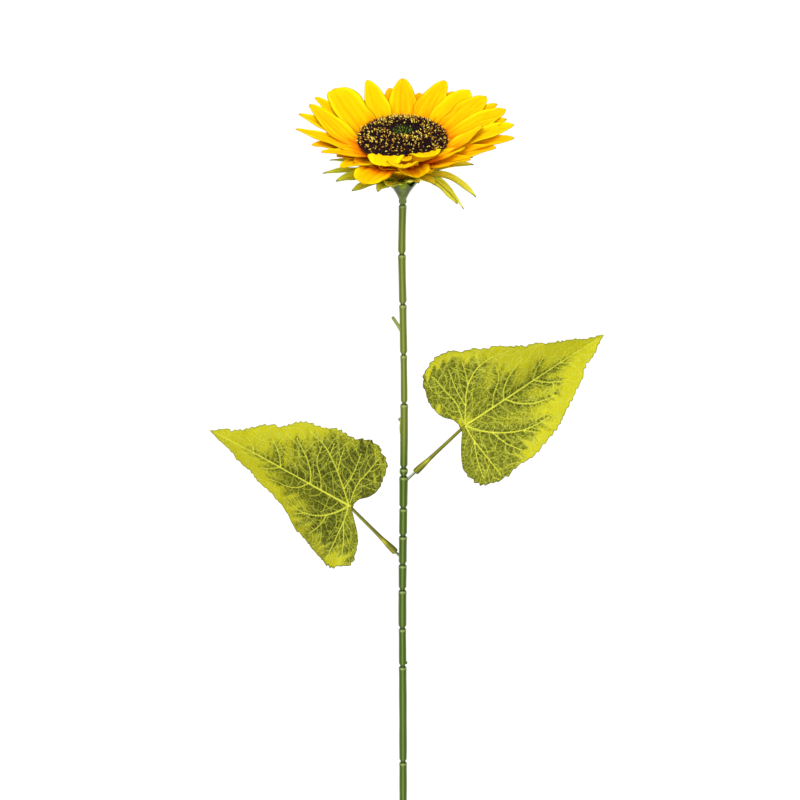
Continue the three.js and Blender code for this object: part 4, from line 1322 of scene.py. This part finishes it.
def build_calyx():
    """The cup with its wall, and the post up through the head, as one limb from the neck."""
    neck, rim, rim_height, wall, lobes, lobe_rise = CALYX.values()
    outside = [
        (AXIS_CLEAR, 0.3), (neck * 0.85, 0.3), (neck * 1.05, 0.9), (neck * 1.08, 2.2), (neck * 1.02, 3.0),
        (3.1, 5.2), (4.9, 9.0), (7.4, 12.8), (10.0, 16.2), (rim, rim_height),
    ]
    edge = [(rim - wall * 0.4, rim_height + wall * 0.4), (rim - wall, rim_height + wall * 0.3)]
    inner = np.linspace((rim - wall * 1.3, rim_height - 0.2), (POST_RADIUS + 1.2, 11.5), 12)
    post = [(POST_CORE, 11.4), (POST_CORE, 43.0), (POST_CORE - 0.4, 43.5), (AXIS_CLEAR, 43.5)]
    profile = np.concatenate([rounded(outside, 60), edge, inner, post])
    radius, height = profile[:, :1], profile[:, 1:]
    turn = full_turn(CALYX_SIDES)
    lobe = np.abs(np.cos(lobes * (turn - np.pi / 2) / 2))
    wide = smooth(3, rim, radius)
    rings = turned_rings(profile, CALYX_SIDES)
    rings[..., 2] += lobe_rise * (lobe - 0.5) * smooth(7, rim, radius)
    ribs = 1 + wide * (0.16 * lobe - 0.12) + 0.05 * smooth(neck, 5, radius) * np.cos(lobes * turn)
    rings[..., :2] *= ribs[..., None]
    # Painted shade darkens the foot of the neck and the hollows between the lobes; a painted highlight
    # brightens the lobes' crests.
    ring = 0.7 * bump(height, 0.3, 0.6) + smooth(2.6, 6, radius) * (1 - lobe)
    shape = Shape()
    skin(shape, nodded(rings), ring=np.clip(ring, 0, 1), pale=0.5 * wide * lobe**8)
    shape.piece("calyx_cup", calyx_look(), ["calyx"])


def disc_height(radius):
    return flowing(DISC_PROFILE[: DISC_RIM_ROW + 1], radius)


def disc_facing(radius, turn):
    slope = (disc_height(radius + 0.1) - disc_height(radius - 0.1)) / 0.2
    return unit(polar(-slope, turn, 1.0))


def build_disc(seed):
    base = Shape()
    profile = np.maximum(rounded(DISC_PROFILE, 70)[::-1], AXIS_CLEAR)
    rings = turned_rings(profile, 96)
    rings[..., 2] += 0.25 * waves(rings, 2.2, 9) * (rings[..., 2] > 47)
    skin(base, nodded(rings))
    base.piece("disc_base", flock_look("disc_felt", (28, 16, 18), (48, 30, 30)), ["seed_disc"])

    rng = np.random.default_rng(seed)
    count, inner, outer = BRISTLE_COUNT, EYE_RADIUS + 0.4, BRISTLE_EDGE
    k = np.arange(count)
    radius = np.sqrt(inner**2 + (outer**2 - inner**2) * (k + 0.5) / count)
    turn = k * GOLDEN_ANGLE + rng.normal(0, 0.03, count)
    roots = polar(radius, turn, disc_height(radius) - 0.3)
    lean = np.interp(radius, (inner, 12, 20, outer), (-0.35, -0.1, 0.05, 0.25))
    upright = disc_facing(radius, turn) + polar(lean, turn, 0)
    headings = unit(upright + rng.normal(0, BRISTLE_SPRAY, (count, 3)))
    bends = rng.normal(0, BRISTLE_BEND, (count, 3)) * [1, 1, 0.4]
    grown = np.interp(radius, (inner, 12, 26, outer), (0.7, 1, 1, 0.85))
    lengths = rng.uniform(*BRISTLE_LENGTHS, count) * grown
    radii = BRISTLE_RADIUS * rng.uniform(0.85, 1.2, count)
    dark = Shape()
    tufts(dark, roots, headings, bends, lengths, radii)
    dark.piece("disc_bristles", flock_look("bristle_dark", (34, 16, 20), (62, 34, 32)))

    # Part of the bristles have pale tips, fewer of them near the eye and at the far side of the rim.
    chance = np.interp(radius, (inner, 9.5, 12, outer), (0.02, 0.12, 0.38, 0.34))
    chance *= 1 - 0.5 * smooth(20, 25, radius) * smooth(0.1, 0.8, np.sin(turn))
    dealt = rng.uniform(size=count)
    for name, first, second, low, high in BRISTLE_TIPS:
        chosen = (dealt >= chance * low) & (dealt < chance * high)
        heading, bend, length = headings[chosen], bends[chosen], lengths[chosen]
        begin = roots[chosen] + length[:, None] * (heading * TIP_START + bend * 0.58)
        ahead = unit(heading + bend * 1.1)
        shape = Shape()
        tufts(shape, begin, ahead, bend * 0.9, length * TIP_LENGTH, radii[chosen] * TIP_SWELL, taper=0.6)
        shape.piece(f"disc_tips_{name}", flock_look(f"bristle_{name}", first, second))


def build_eye():
    cushion = Shape()
    floor = disc_height(0.0)
    rings = turned_rings(rounded(EYE_PROFILE, 24) + [0, floor], 48)
    rings[..., 2] += 0.15 * waves(rings, 1.6, 3)
    skin(cushion, nodded(rings))
    cushion.piece("eye_cushion", flock_look("eye_felt", (22, 32, 14), (36, 50, 20)), ["disc_eye"])
    for name, count, first, second, seed in EYE_TUFTS:
        rng = np.random.default_rng(seed)
        radius = (EYE_RADIUS - 0.6) * np.sqrt(rng.uniform(0, 1, count))
        roots = polar(radius, rng.uniform(0, 2 * np.pi, count), floor + 1.2 - 0.02 * radius**2)
        headings = unit([0, 0, 1] + rng.normal(0, 0.35, (count, 3)))
        bends = rng.normal(0, 0.25, (count, 3))
        lengths = rng.uniform(*EYE_TUFT_LENGTHS, count)
        radii = rng.uniform(*EYE_TUFT_RADII, count)
        shape = Shape()
        tufts(shape, roots, headings, bends, lengths, radii)
        shape.piece(f"eye_tufts_{name}", flock_look(f"eye_{name}", first, second))


# ---------------------------------------------------------------- studio


def build_studio():
    floor = bpy.data.meshes.new("floor")
    corners = [(x * FLOOR_HALF, y * FLOOR_HALF, 0) for x, y in ((-1, -1), (1, -1), (1, 1), (-1, 1))]
    floor.from_pydata(corners, [], [(0, 1, 2, 3)])
    floor.materials.append(floor_look())
    ground = placed("floor", floor)

    world = bpy.data.worlds.new("soft_box")
    world.use_nodes = True
    background = world.node_tree.nodes["Background"].inputs
    background["Color"].default_value = (1, 1, 1, 1)
    background["Strength"].default_value = WORLD_LIGHT
    bpy.context.scene.world = world

    for name, energy, spread, tilt, swung in LIGHTS:
        light = bpy.data.lights.new(name, "SUN")
        light.energy = energy
        light.angle = np.radians(spread)
        placed(name, light).rotation_euler = (np.radians(tilt), 0, np.radians(swung))


def build_camera():
    lens = bpy.data.cameras.new("camera")
    lens.lens = CAMERA_LENS
    lens.sensor_width = CAMERA_SENSOR
    lens.clip_end = CAMERA_REACH
    camera = placed("camera", lens)
    camera.location = CAMERA_PLACE
    camera.rotation_euler = (np.radians(CAMERA_TILT), 0, 0)
    bpy.context.scene.camera = camera
    bpy.context.scene.view_settings.view_transform = "Standard"


# ---------------------------------------------------------------- assembly

build_camera()
build_studio()
build_stem()
build_leaf_pegs()
leaf_material, stalk_material, petal_material = leaf_look(), stalk_look(), petal_look()
for seed, (side, leaf) in enumerate(LEAVES.items(), 11):
    build_blade(side, leaf, seed, leaf_material)
    build_stalk(side, leaf, stalk_material)
build_calyx()
build_bracts(seed=31)
build_petals("lower", lower_petals(seed=41), depth=0.26, seed=42, material=petal_material)
build_petals("middle", MIDDLE_PETALS, depth=0.16, seed=43, material=petal_material)
build_petals("upper", UPPER_PETALS, depth=0.0, seed=44, material=petal_material)
build_disc(seed=71)
build_eye()
